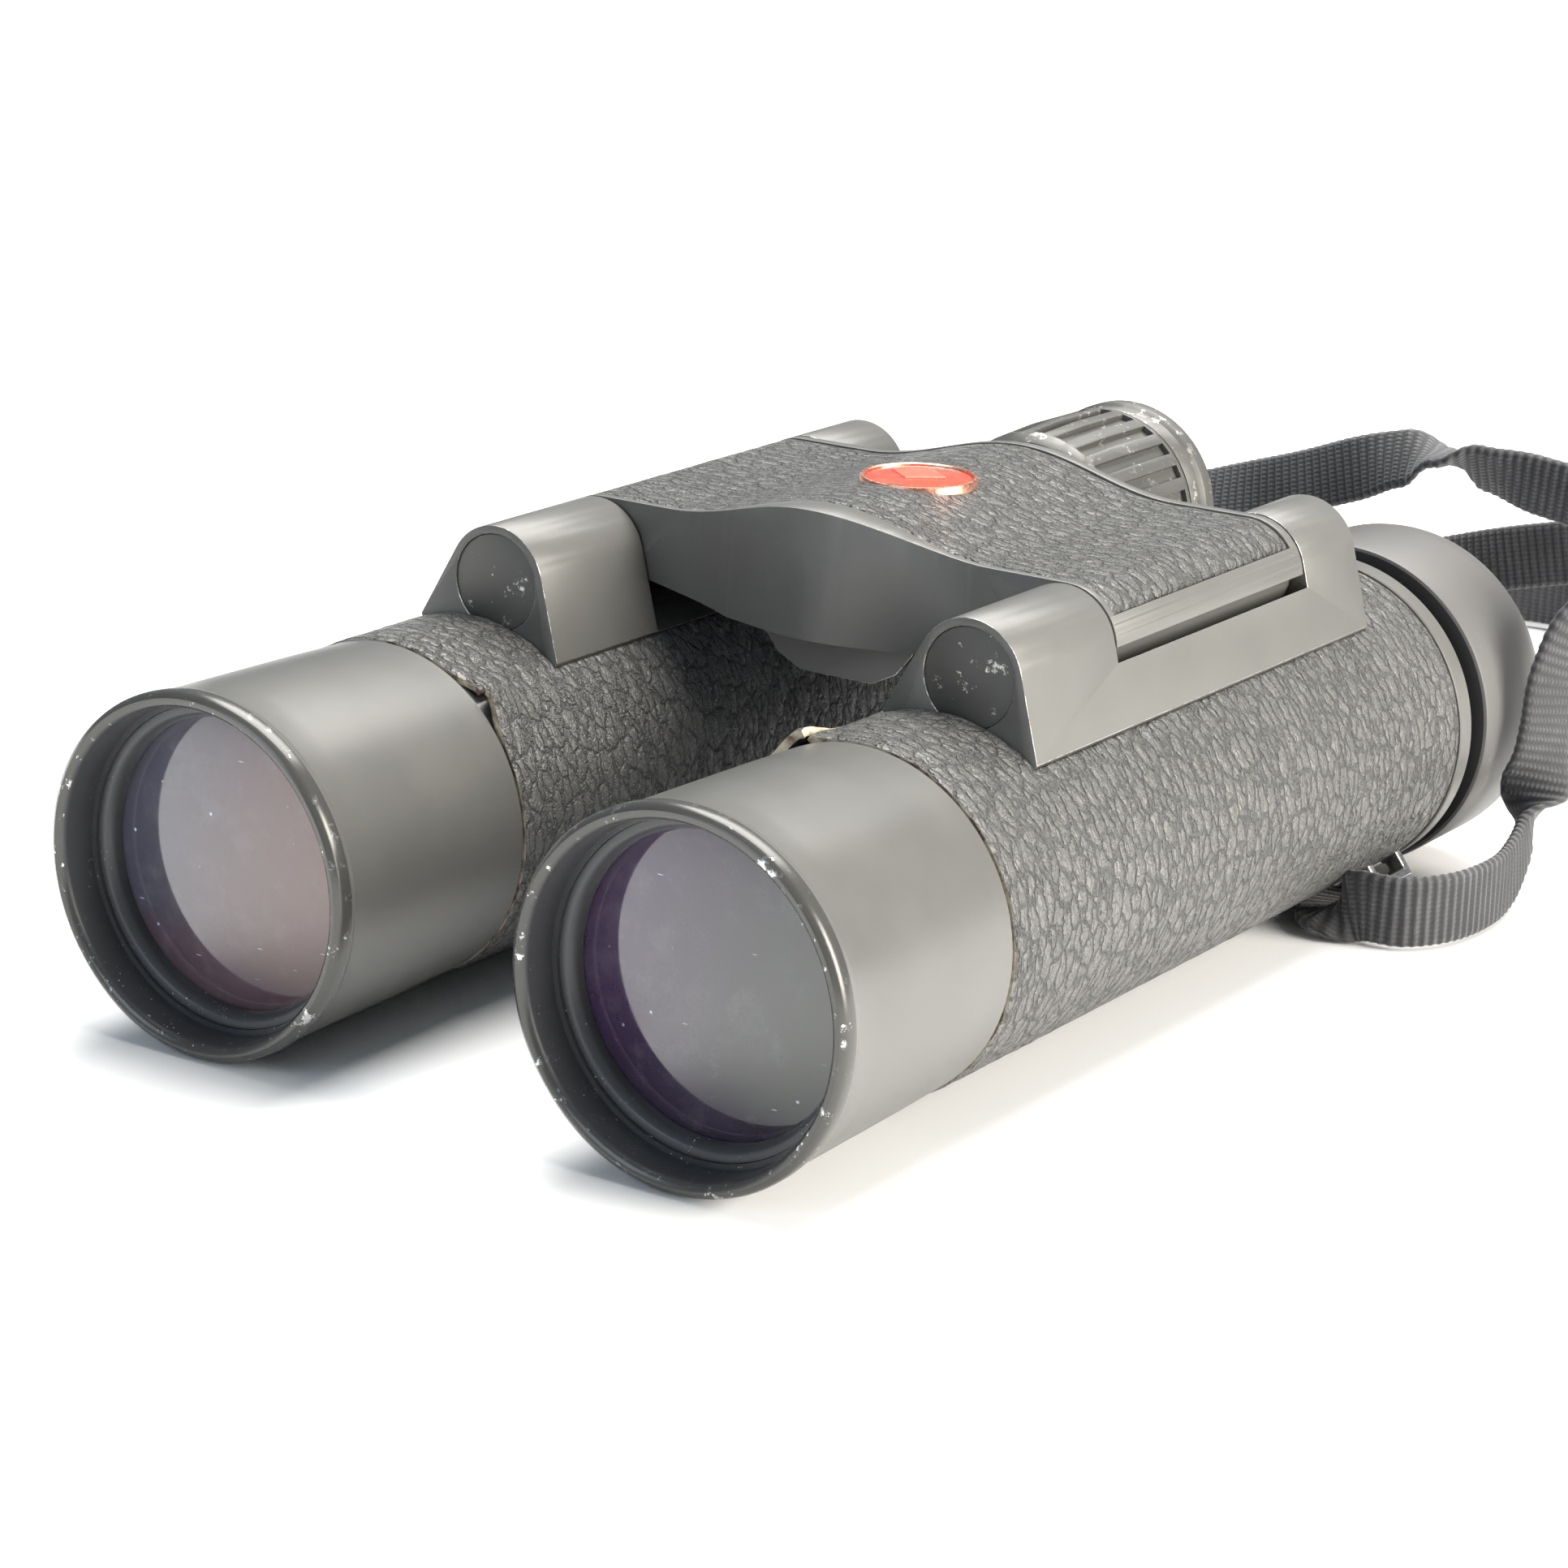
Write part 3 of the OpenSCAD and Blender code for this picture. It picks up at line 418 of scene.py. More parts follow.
def settle(bm, name, materials, node, also=(), smooth=True, edge=0.0, segments=2, angle=32, edge_material=None,
           rides=True):
    """Makes a bmesh a finished piece that replaces CAD nodes and rides on their body."""
    mesh = bpy.data.meshes.new(name)
    bm.to_mesh(mesh)
    bm.free()
    for m in materials:
        mesh.materials.append(finish(m) if isinstance(m, str) else m)
    for face in mesh.polygons:
        face.use_smooth = smooth
    piece = bpy.data.objects.new(name, mesh)
    bpy.context.scene.collection.objects.link(piece)
    if edge:
        bevel = piece.modifiers.new("edges", "BEVEL")
        bevel.width = edge
        bevel.segments = segments
        bevel.limit_method = "ANGLE"
        bevel.angle_limit = math.radians(angle)
        bevel.use_clamp_overlap = True
        bevel.harden_normals = True
        bevel.miter_outer = "MITER_ARC"
        if edge_material is not None:
            bevel.material = edge_material
    elif smooth:
        mesh.set_sharp_from_angle(angle=math.radians(angle))
    if rides:
        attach(piece, BODY_OF[node])
    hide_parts(node, *also)
    return piece


def machined(node, name, materials, edge, edge_material=None, segments=2, angle=32):
    """A copy of a CAD part's shape with its flats made whole again and its edges rounded."""
    bm = bmesh.new()
    bm.from_mesh(frame["nodes"][node].data)
    bmesh.ops.remove_doubles(bm, verts=bm.verts[:], dist=0.000002)
    bmesh.ops.dissolve_limit(bm, angle_limit=math.radians(0.6), verts=bm.verts[:], edges=bm.edges[:])
    return settle(
        bm, name, materials, node, edge=edge, edge_material=edge_material, segments=segments, angle=angle)


def spun(profile, side, steps=None):
    """A solid turned about a barrel's axis, from a closed outline of (radius, station) in millimetres."""
    bm = bmesh.new()
    corners = [bm.verts.new((r * MM, station(s), 0)) for r, s in profile]
    for first, second in zip(corners, corners[1:] + corners[:1]):
        bm.edges.new((first, second))
    bmesh.ops.spin(bm, geom=bm.verts[:] + bm.edges[:], cent=(0, 0, 0), axis=(0, 1, 0), dvec=(0, 0, 0),
                   angle=FULL, steps=steps or sizes().round_steps, use_merge=True, use_duplicate=False)
    bmesh.ops.remove_doubles(bm, verts=bm.verts[:], dist=0.000004)
    bmesh.ops.dissolve_degenerate(bm, dist=0.000001, edges=bm.edges[:])
    bmesh.ops.recalc_face_normals(bm, faces=bm.faces[:])
    bmesh.ops.translate(bm, verts=bm.verts[:], vec=(AXIS[side].x, 0, AXIS[side].z))
    return bm


def paint_faces(bm, side, rule):
    """Sets a material index by a rule of a face's radius and station in millimetres."""
    for face in bm.faces:
        c = face.calc_center_median()
        radius = math.hypot(c.x - AXIS[side].x, c.z - AXIS[side].z) / MM
        face.material_index = rule(radius, (c.y - FRONT) / MM)


def repaint(node, *materials):
    """Gives a CAD part its detailed finish in place of its plain one."""
    mesh = frame["nodes"][node].data
    mesh.materials.clear()
    for m in materials:
        mesh.materials.append(finish(m) if isinstance(m, str) else m)


# ---------- the pieces ----------

def objective_tube(side):
    front, seam = 0.0, reach(f"{side}_leather")[0] - 0.2
    rear = reach(f"{side}_objective_tube")[1]
    lip = (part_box(f"{side}_objective_tube")[1].x - AXIS[side].x) / MM
    bore = lip - 1.3
    seat = lip - 1.72
    back = lip - 0.75
    profile = [
        (bore, 0.62), (bore + 0.16, 0.26), (bore + 0.45, 0.05), (bore + 0.8, front),
        (lip - 0.42, front + 0.05),
        (lip - 0.14, 0.24), (lip, 0.62), (lip, 1.45),
        (lip - 0.06, 1.75), (lip - 0.19, 1.98), (lip - 0.24, 2.2),
        (lip - 0.3, 5), (lip - 0.42, 11), (lip - 0.55, 17), (back, seam - 0.12), (back - 0.12, seam),
        (back - 1.55, seam), (back - 1.55, rear), (back - 2.2, rear), (back - 2.2, 10.4), (seat, 10.4),
        (seat, 8.4), (seat, 5.2), (seat, 3.3), (bore, 3.3),
    ]
    bm = spun(profile, side)
    paint_faces(bm, side, lambda r, s: 2 if r < bore + 0.1 else 1 if s < 1.5 else 0)
    settle(
        bm, f"{side}_front_tube", ["tube_metal", "lip_metal", "recess_black"], f"{side}_objective_tube", angle=40)


def retaining_ring(side):
    low, high = reach(f"{side}_retaining_ring")
    outer = (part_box(f"{side}_retaining_ring")[1].x - AXIS[side].x) / MM
    profile = [
        (outer, low), (outer, high), (outer - 1.02, high),
        (outer - 1.06, high - 0.75), (outer - 0.98, high - 0.98),
        (outer - 0.7, low + 0.12), (outer - 0.52, low),
    ]
    settle(spun(profile, side), f"{side}_lens_ring", ["recess_black"], f"{side}_retaining_ring", angle=35)


def front_lens(side):
    low, high = reach(f"{side}_objective_front_lens")
    radius = (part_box(f"{side}_objective_front_lens")[1].x - AXIS[side].x) / MM
    crown = [(radius * i / 14, low + (5.3 - low) * (i / 14) ** 2) for i in range(15)]
    bm = spun(crown + [(radius, high - 0.8)] + [(radius * (7 - i) / 8, high - 0.8 * (1 - ((i + 1) / 8) ** 2) ** 0.5)
                                                 for i in range(7)] + [(0, high)], side)
    # Painted reflection tints of each front lens's coating, then its painted shadow colour
    tints = {"left": ((0.04, 0.022, 0.055), (0.016, 0.022, 0.02)),
             "right": ((0.06, 0.06, 0.085), (0.13, 0.075, 0.07))}
    glass = coated_lens(f"{side}_coating", AXIS[side], radius * MM, *tints[side],
                        (0.035, 0.022, 0.045) if side == "left" else (0.09, 0.055, 0.07))
    settle(bm, f"{side}_front_glass", [glass], f"{side}_objective_front_lens", angle=50)


def eyecup(side):
    front, rear = reach(f"{side}_eyecup")
    radius = (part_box(f"{side}_eyecup")[1].x - AXIS[side].x) / MM
    hole = radius - 4.2
    sleeve = 11.56
    profile = [
        (sleeve, front), (radius - 0.35, front), (radius - 0.1, front + 0.1), (radius, front + 0.38),
        (radius, rear - 3.2), (radius - 0.05, rear - 2.3),
        (radius - 0.28, rear - 1.25), (radius - 0.75, rear - 0.5),
        (radius - 1.35, rear - 0.12), (radius - 2.0, rear),
        (hole + 1.2, rear - 0.02), (hole + 0.6, rear - 0.22),
        (hole + 0.15, rear - 0.62), (hole, rear - 1.1), (hole, 107.1), (sleeve, 107.1),
    ]
    bm = spun(profile, side)
    paint_faces(bm, side, lambda r, s: 1 if r < hole + 0.05 or s < front + 0.05 else 0)
    settle(bm, f"{side}_cup", ["cup_satin", "inner_black"], f"{side}_eyecup", angle=40)


def rear_ring(side):
    front, rear = reach(f"{side}_rear_ring")
    radius = (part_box(f"{side}_rear_ring")[1].x - AXIS[side].x) / MM
    profile = [
        (11.5, front), (radius - 0.1, front), (radius, front + 0.12),
        (radius, rear - 0.5), (radius - 0.08, rear - 0.22),
        (radius - 0.3, rear - 0.05), (radius - 0.5, rear), (11.5, rear),
    ]
    settle(spun(profile, side), f"{side}_end_ring", ["anodised"], f"{side}_rear_ring", angle=35)


# Columns and rows of the leather's grid where the opening for the bracket's foot begins and ends
CUT_START, CUT_END = 88, 124
FOOT_START, FOOT_END = 26, 156


def barrel_leather(side):
    """The leather round a barrel, cut out for the bracket's foot, with its front seam lifting a little."""
    node = f"{side}_leather"
    first, last = reach(node)
    foot_front, foot_rear = (v + d for v, d in zip(reach(f"{side}_hinge_bracket"), (-0.15, 0.15)))
    low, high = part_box(node)
    radius = (high.x - low.x) / 2
    thick = 0.00066
    cut = math.radians(30.25)
    across = ((-math.pi, 0), (-cut, CUT_START), (cut, CUT_END), (math.pi, 212))
    along = ((first, 0), (foot_front, FOOT_START), (foot_rear, FOOT_END), (last, 176))
    columns, rows = across[-1][1], along[-1][1]

    def spread(table, index):
        for (v0, i0), (v1, i1) in zip(table, table[1:]):
            if index <= i1:
                return v0 + (v1 - v0) * (index - i0) / (i1 - i0)

    bm = bmesh.new()
    wrap = bm.loops.layers.uv.new("wrap")
    tag = bm.verts.layers.int.new("place")
    bmesh.ops.create_grid(bm, x_segments=columns, y_segments=rows, size=1.0)
    spot = {v: (round((v.co.x + 1) / 2 * columns), round((v.co.y + 1) / 2 * rows)) for v in bm.verts}
    for v, (i, j) in spot.items():
        v[tag] = i * 1000 + j
    for face in bm.faces:
        for loop in face.loops:
            i, j = spot[loop.vert]
            loop[wrap].uv = (spread(across, i) * radius / MM + 60 * (side == "right"), spread(along, j))
    middles = {f: [sum(spot[v][k] for v in f.verts) / 4 for k in (0, 1)] for f in bm.faces}
    in_cut = [f for f in bm.faces if CUT_START < middles[f][0] < CUT_END]
    gone = [f for f in in_cut if FOOT_START < middles[f][1] < FOOT_END]
    patch = {f for f in in_cut if middles[f][1] < FOOT_START}
    bmesh.ops.delete(bm, geom=gone, context="FACES")
    seam = [e for e in bm.edges if all(spot[v][0] == CUT_START and spot[v][1] <= FOOT_START for v in e.verts)]
    bmesh.ops.split_edges(bm, edges=seam)
    turn, sign = LEAN[side], SIDES[side]
    grain = sizes().grain
    for v in bm.verts:
        i, j = divmod(v[tag], 1000)
        angle, s = spread(across, i), spread(along, j)
        in_patch = any(f in patch for f in v.link_faces)
        u = angle * radius / MM
        broad = noise.noise(Vector((u * 0.55 + 7 * sign, s * 0.8, 0)))
        swell = broad + 0.5 * noise.noise(Vector((u * 1.6, s * 1.9, 5)))
        out = radius + grain * (swell - 0.6)
        rim = i in (CUT_START, CUT_END) and FOOT_START <= j <= FOOT_END
        if rim or (i == CUT_START and j < FOOT_START):
            ragged = 0.006 * noise.noise(Vector((s * 0.9, i, sign))) - 0.004
            angle += ragged * (1 if i == CUT_END or in_patch else -1)
            out -= 0.00010
        if j in (0, rows):
            s += 0.08 * noise.noise(Vector((u * 0.35, j, sign)))
            out -= 0.00012
        # the corner of the wrap at the front seam has come loose and curls up
        gap = (cut + angle) * radius / MM
        if not in_patch and i <= CUT_START and j < 40:
            near = math.exp(-((s - first) / 3.4) ** 2 - (gap / 2.6) ** 2)
            out += near * 0.0011
            angle -= near * 0.02
            s += near * 0.5
        if in_patch:
            near = math.exp(-((s - first - 1) / 2.6) ** 2 - (gap / 1.8) ** 2)
            out += near * 0.0004
            s += near * 0.7
        a = turn + sign * angle
        v.co = (AXIS[side].x + out * math.sin(a), station(s), AXIS[side].z + out * math.cos(a))
    bmesh.ops.remove_doubles(bm, verts=[v for v in bm.verts if v[tag] // 1000 in (0, columns)], dist=0.00002)
    bmesh.ops.recalc_face_normals(bm, faces=bm.faces[:])
    outer = set(bm.faces)
    sample = next(iter(outer))
    c = sample.calc_center_median() - Vector((AXIS[side].x, 0, AXIS[side].z))
    if sample.normal.dot(Vector((c.x, 0, c.z))) < 0:
        bmesh.ops.reverse_faces(bm, faces=bm.faces[:])
    bmesh.ops.solidify(bm, geom=bm.faces[:], thickness=thick)
    for face in bm.faces:
        c = face.calc_center_median() - Vector((AXIS[side].x, 0, AXIS[side].z))
        across_wall = abs(face.normal.dot(Vector((c.x, 0, c.z)).normalized())) < 0.55
        face.material_index = 1 if across_wall else 0
    settle(bm, f"{side}_barrel_leather", ["leather", "cut_leather"], node, angle=45)


def bridge_leather():
    """The leather over the bridge, with softly rounded edges."""
    node = "bridge_leather"
    first, last = reach(node)
    mid_x = (HINGE["left"].x + HINGE["right"].x) / 2
    half = (HINGE["left"].x - HINGE["right"].x) / 2
    knuckle = (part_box("left_hinge_bracket")[1].z - HINGE["left"].z)
    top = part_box(node)[1].z
    hump = top - HINGE["left"].z - knuckle
    wide = half - knuckle - 0.0024
    sweep = math.radians(55)
    arm = sweep * knuckle
    flat = half
    total = 2 * (arm + flat)

    def outline(t):
        """A place on the top of the section, and its outward direction, for a distance from its middle."""
        sign = 1 if t >= 0 else -1
        d = abs(t)
        if d > flat:
            a = (d - flat) / knuckle
            across, up = math.sin(a), math.cos(a)
            spot = Vector((sign * (half + knuckle * across), 0, HINGE["left"].z + knuckle * up))
            return spot, Vector((sign * across, 0, up))
        rise = hump * (1 + math.cos(math.pi * min(d / wide, 1))) / 2
        slope = -hump * math.pi / wide * math.sin(math.pi * min(d / wide, 1)) / 2
        spot = Vector((sign * d, 0, HINGE["left"].z + knuckle + rise))
        return spot, Vector((-slope * sign, 0, 1)).normalized()

    columns, rows = 150, 74
    bm = bmesh.new()
    wrap = bm.loops.layers.uv.new("wrap")
    bmesh.ops.create_grid(bm, x_segments=columns, y_segments=rows, size=1.0)
    for face in bm.faces:
        for loop in face.loops:
            across, along = loop.vert.co.x, loop.vert.co.y
            loop[wrap].uv = (across * total / 2 / MM + 200, (first + (last - first) * (along + 1) / 2))
    grain = sizes().grain
    for v in bm.verts:
        t, s = v.co.x * total / 2, first + (last - first) * (v.co.y + 1) / 2
        spot, away = outline(t)
        edge = min(s - first, last - s, (total / 2 - abs(t)) / MM)
        drop = 0.00022 * max(0.0, 1 - edge / 0.55) ** 2
        lift = grain * 0.7 * (noise.noise(Vector((t / MM * 0.55, s * 0.7, 3))) - 0.7)
        if s in (first, last) or edge < 0.01:
            s += 0.05 * noise.noise(Vector((t / MM * 0.5, s, 9)))
        v.co = spot + away * (lift - drop) + Vector((mid_x, station(s), 0))
    bmesh.ops.recalc_face_normals(bm, faces=bm.faces[:])
    if sum(f.normal.z for f in bm.faces) < 0:
        bmesh.ops.reverse_faces(bm, faces=bm.faces[:])
    bmesh.ops.solidify(bm, geom=bm.faces[:], thickness=0.00052)
    for face in bm.faces:
        face.material_index = 1 if abs(face.normal.y) > 0.8 else 0
    settle(bm, "bridge_cover", ["leather", "inner_black"], node, angle=45)


def badge():
    """A round enamel badge with a raised diamond, in a thin rim."""
    low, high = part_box("badge_rim")
    centre = (low + high) / 2
    radius = (high.x - low.x) / 2
    top = high.z

    def disc(name, outline, material, node, lift=0.0):
        bm = bmesh.new()
        corners = [bm.verts.new((r, 0, z)) for r, z in outline]
        for a, b in zip(corners, corners[1:]):
            bm.edges.new((a, b))
        bmesh.ops.spin(bm, geom=bm.verts[:] + bm.edges[:], cent=(0, 0, 0), axis=(0, 0, 1), dvec=(0, 0, 0),
                       angle=FULL, steps=96, use_merge=True, use_duplicate=False)
        bmesh.ops.remove_doubles(bm, verts=bm.verts[:], dist=0.000002)
        bmesh.ops.dissolve_degenerate(bm, dist=0.000001, edges=bm.edges[:])
        bmesh.ops.recalc_face_normals(bm, faces=bm.faces[:])
        bmesh.ops.translate(bm, verts=bm.verts[:], vec=(centre.x, centre.y, top + lift))
        settle(bm, name, [material], node, angle=40)

    rim = [(radius - 0.0003, -0.0011), (radius, -0.0011), (radius, -0.00012), (radius - 0.00008, 0),
           (radius - 0.0003, 0.00003), (radius - 0.00042, -0.00005), (radius - 0.00045, -0.0004),
           (radius - 0.0003, -0.0011)]
    disc("badge_ring", rim, "gilt", "badge_rim")
    inner = radius - 0.00046
    face = [(inner * i / 12, 0.00012 - 0.00030 * (i / 12) ** 3) for i in range(13)]
    disc("badge_face", face + [(inner, -0.0007), (0, -0.0007)], "enamel", "badge_enamel")
    bm = bmesh.new()
    r = radius * 0.44
    bmesh.ops.create_circle(bm, cap_ends=True, segments=4, radius=r)
    bmesh.ops.scale(bm, vec=(1.25, 1, 1), verts=bm.verts[:])
    walls = bmesh.ops.extrude_face_region(bm, geom=bm.faces[:])
    raised = [g for g in walls["geom"] if isinstance(g, bmesh.types.BMVert)]
    bmesh.ops.translate(bm, vec=(0, 0, 0.0004), verts=raised)
    bmesh.ops.recalc_face_normals(bm, faces=bm.faces[:])
    bmesh.ops.translate(bm, verts=bm.verts[:], vec=(centre.x, centre.y, top - 0.00018))
    settle(bm, "badge_lozenge", ["enamel_pale"], "badge_diamond", edge=0.00008, segments=2)


# ---------- the strap ----------

NEAR_ROUTE = [
    ((30.69, 91.5, 2.76), (0, -1, 0), 0.6), ((29.55, 91.3, 1.85), (0, -1, 0), 0.6),
    ((28.5, 90.3, 1), (0.55, -0.8, 0.1), 0.6), ((28.3, 88.2, 0.66), (1, -0.3, 0), 0.6),
    ((28.6, 86, 0.62), (1, 0, 0), 0.7), ((29.5, 83.9, 0.8), (1, 0.2, 0.12), 0.85),
    ((31.2, 82, 1.75), (0.8, 0.3, 0.5), 1), ((34.1, 81, 3.05), (0.15, 0, 1), 1),
    ((37.8, 81.6, 3.1), (0, 0, 1), 1), ((40.3, 85.2, 3.1), (0, 0, 1), 1), ((41.1, 90.6, 3.1), (0, 0, 1), 1),
    ((40.6, 95.6, 3.4), (0, 0, 1), 1), ((39.8, 100, 5.2), (0, 0.1, 1), 1), ((39.2, 103, 9.2), (0.2, 0.5, 0.8), 1),
    ((39, 104.4, 14), (0.3, 0.9, 0.2), 1), ((39.4, 105.2, 19), (0.4, 0.9, 0), 1),
    ((41, 107, 23.6), (0.5, 0.9, 0), 1), ((45, 111, 26.6), (0.7, 0.7, 0), 1), ((50, 118, 26), (0.8, 0.5, 0), 1),
    ((53, 127, 21), (1, 0.2, 0), 1), ((53.4, 136, 13), (1, 0, 0), 1), ((51, 144, 6.4), (0.9, 0.3, 0.5), 1),
    ((46.6, 150.5, 3.6), (0.2, 0.1, 1), 1), ((42.6, 157.5, 3.4), (0, 0, 1), 1),
]
FAR_ROUTE = [
    ((-33.49, 91.5, 5.57), (0, -1, 0), 0.6), ((-34.75, 91.6, 7.2), (0, -1, 0.1), 0.6),
    ((-36.1, 92.6, 8.7), (-0.4, -0.6, 0.5), 0.6), ((-37.5, 94.8, 9.3), (-0.2, -0.1, 1), 0.75),
    ((-38.6, 99, 9), (0, 0, 1), 1), ((-38.8, 105, 8.7), (0, 0, 1), 1), ((-38.9, 111, 8.7), (0, 0, 1), 1),
    ((-38.4, 116, 9.2), (0, 0, 1), 1), ((-35.8, 120.2, 10.6), (0.1, 0.2, 1), 1),
    ((-29.5, 122.6, 13.8), (0, 0.5, 0.9), 1), ((-19, 123.6, 19), (0, 0.9, 0.4), 1),
    ((-8, 123.6, 23.2), (0, 0.6, 0.8), 1), ((3, 123, 26.6), (0, 0.35, 0.94), 1),
    ((10, 122.6, 29.2), (0, 0.3, 0.95), 1), ((15, 122.6, 31), (0, 0.6, 0.8), 1), ((19, 122.8, 31.6), (0, 1, 0), 1),
    ((23, 123, 31.2), (0, 0.6, -0.8), 1), ((28.5, 123.2, 30.4), (0, 0.25, -0.95), 1),
    ((35.5, 124, 29.2), (0, 0.1, -1), 1), ((42.6, 126.2, 27.6), (0, 0.1, -1), 1),
    ((47.6, 131.6, 26), (0, 0, -1), 1), ((44, 137, 24.6), (0, 0, -1), 1), ((34, 138.4, 22.8), (0, -0.1, -1), 1),
    ((22, 138.2, 20.2), (0, -0.1, -1), 1), ((10, 139.6, 16.6), (0, -0.4, -0.9), 1),
    ((-2, 142.4, 12.6), (-0.2, -0.6, -0.8), 1), ((-12.5, 146, 9.6), (-0.5, -0.8, -0.4), 1),
    ((-21.5, 150.8, 7.9), (-0.6, -0.9, -0.1), 1), ((-27.6, 157, 7.25), (-0.9, -0.5, 0), 1),
    ((-30, 165, 7.2), (-1, -0.1, 0), 1),
]
COIL_OUT, COIL_IN, COIL_RISE = 37.4, 28.6, 3.4


def curve_through(route, step):
    """Points a step apart on a smooth curve through a route, with the width's direction and share."""
    points = [Vector(p[0]) for p in route]
    sides = [Vector(p[1]).normalized() for p in route]
    shares = [p[2] for p in route]
    dense = []
    last = len(points) - 1
    for i in range(last):
        p0, p1, p2, p3 = (points[max(0, min(last, i + k))] for k in (-1, 0, 1, 2))
        if i == 0:
            p0 = p1 * 2 - p2
        if i == last - 1:
            p3 = p2 * 2 - p1
        count = max(8, int((p2 - p1).length / 0.2))
        for n in range(count + (i == last - 1)):
            t = n / count
            spot = 0.5 * (2 * p1 + (p2 - p0) * t + (2 * p0 - 5 * p1 + 4 * p2 - p3) * t * t
                          + (3 * p1 - p0 - 3 * p2 + p3) * t ** 3)
            blend = t * t * (3 - 2 * t)
            share = shares[i] + (shares[i + 1] - shares[i]) * blend
            dense.append((spot, sides[i].lerp(sides[i + 1], blend), share))
    return spaced(dense, step)


def spaced(dense, step):
    """The same line with its points an even step apart."""
    run = [0.0]
    for a, b in zip(dense, dense[1:]):
        run.append(run[-1] + (b[0] - a[0]).length)
    count = round(run[-1] / step)
    made, k = [], 0
    for n in range(count + 1):
        want = run[-1] * n / count
        while k < len(run) - 2 and run[k + 1] < want:
            k += 1
        t = (want - run[k]) / max(1e-9, run[k + 1] - run[k])
        a, b = dense[k], dense[k + 1]
        made.append((a[0].lerp(b[0], t), a[1].lerp(b[1], t), a[2] + (b[2] - a[2]) * t))
    return made


def coil_line(centre, start, turns):
    """The turns of the strap that is put away, from the outside in, as a spiral that stands on its edge."""
    count = int(turns * 120)
    line = []
    for n in range(count + 1):
        a = start + FULL * turns * n / count
        r = COIL_OUT + (COIL_IN - COIL_OUT) * n / count
        wander = 0.12 * math.sin(a * 3 + n * 0.004)
        line.append((Vector((centre[0] + (r + wander) * math.cos(a), centre[1] + (r + wander) * math.sin(a),
                             COIL_RISE + 0.12 * math.sin(a * 2 + r))), Vector((0, 0, 1)), 1.0))
    return line


def sweep(bm, line, uv, start_at=0.0):
    """Ribbed webbing along a line of points in millimetres: rounded edges, and four rings to each rib."""
    s = sizes()
    half, thick = s.strap_width / 2, s.strap_thick / 2
    rings, centres, travel = [], [], start_at
    for n, (spot, wide, share) in enumerate(line):
        ahead = line[min(n + 1, len(line) - 1)][0] - line[max(n - 1, 0)][0]
        along = ahead.normalized()
        w = (wide - along * wide.dot(along)).normalized()
        up = along.cross(w)
        rise = (0.76, 1.0, 1.0, 0.76)[n % 4]
        a, b = half * share * (0.988 if n % 4 in (0, 3) else 1.0), thick * rise
        centre = Vector((spot.x * MM, station(spot.y), spot.z * MM))
        section = [(a, -b * 0.3), (a, b * 0.3), (a - b * 0.5, b * 0.86), (a - b * 1.3, b), (0, b), (b * 1.3 - a, b),
                   (b * 0.5 - a, b * 0.86), (-a, b * 0.3), (-a, -b * 0.3), (b * 0.5 - a, -b * 0.86),
                   (b * 1.3 - a, -b), (0, -b), (a - b * 1.3, -b), (a - b * 0.5, -b * 0.86)]
        rings.append(([bm.verts.new(centre + w * q + up * k) for q, k in section], [q for q, _ in section], travel))
        centres.append(centre)
        if n < len(line) - 1:
            travel += (line[n + 1][0] - spot).length
    count = len(rings[0][0])
    for (one, wide1, v1), (two, wide2, v2) in zip(rings, rings[1:]):
        for k in range(count):
            m = (k + 1) % count
            face = bm.faces.new((one[k], one[m], two[m], two[k]))
            corners = ((wide1[k], v1), (wide1[m], v1), (wide2[m], v2), (wide2[k], v2))
            for loop, (q, v) in zip(face.loops, corners):
                loop[uv].uv = (q / MM, v)
    bm.faces.new(rings[0][0][::-1])
    bm.faces.new(rings[-1][0])
    return centres, travel - start_at


def strap(name, line, node, also, exit_at, join_at):
    bm = bmesh.new()
    uv = bm.loops.layers.uv.new("strap")
    centres, run = sweep(bm, line, uv)
    bmesh.ops.recalc_face_normals(bm, faces=bm.faces[:])
    piece = settle(bm, name, ["webbing"], node, also, angle=180, rides=False)
    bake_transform(piece)
    round(run * MM, 4)
    return piece


def straps():
    step = sizes().rib_pitch / MM / 4
    low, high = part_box("strap_coil")
    centre = ((low.x + high.x) / 2 / MM, ((low.y + high.y) / 2 - FRONT) / MM)
    meet = math.radians(9)
    lead = curve_through(NEAR_ROUTE, 0.3)
    coil = coil_line(centre, meet, sizes().coil_turns)
    last = lead[-1]
    bridge_in = curve_through([NEAR_ROUTE[-2], (tuple(last[0]), (0, 0, 1), 1),
                               (tuple(coil[0][0]), (0, 0, 1), 1), (tuple(coil[6][0]), (0, 0, 1), 1)], 0.3)
    cut = next(n for n, p in enumerate(bridge_in) if (p[0] - last[0]).length < 0.16)
    joined = lead + bridge_in[cut + 1:] + coil[7:]
    near = spaced(joined, step)
    strap("strap_near_run", near, "strap_near", ["strap_coil"],
          (0.040, station(97), 0.005), (0.0465, station(150), 0.004))
    far = curve_through(FAR_ROUTE, step)
    strap("strap_far_run", far, "strap_far", [],
          (-0.0386, station(99), 0.009), (-0.008, station(123.6), 0.0234))


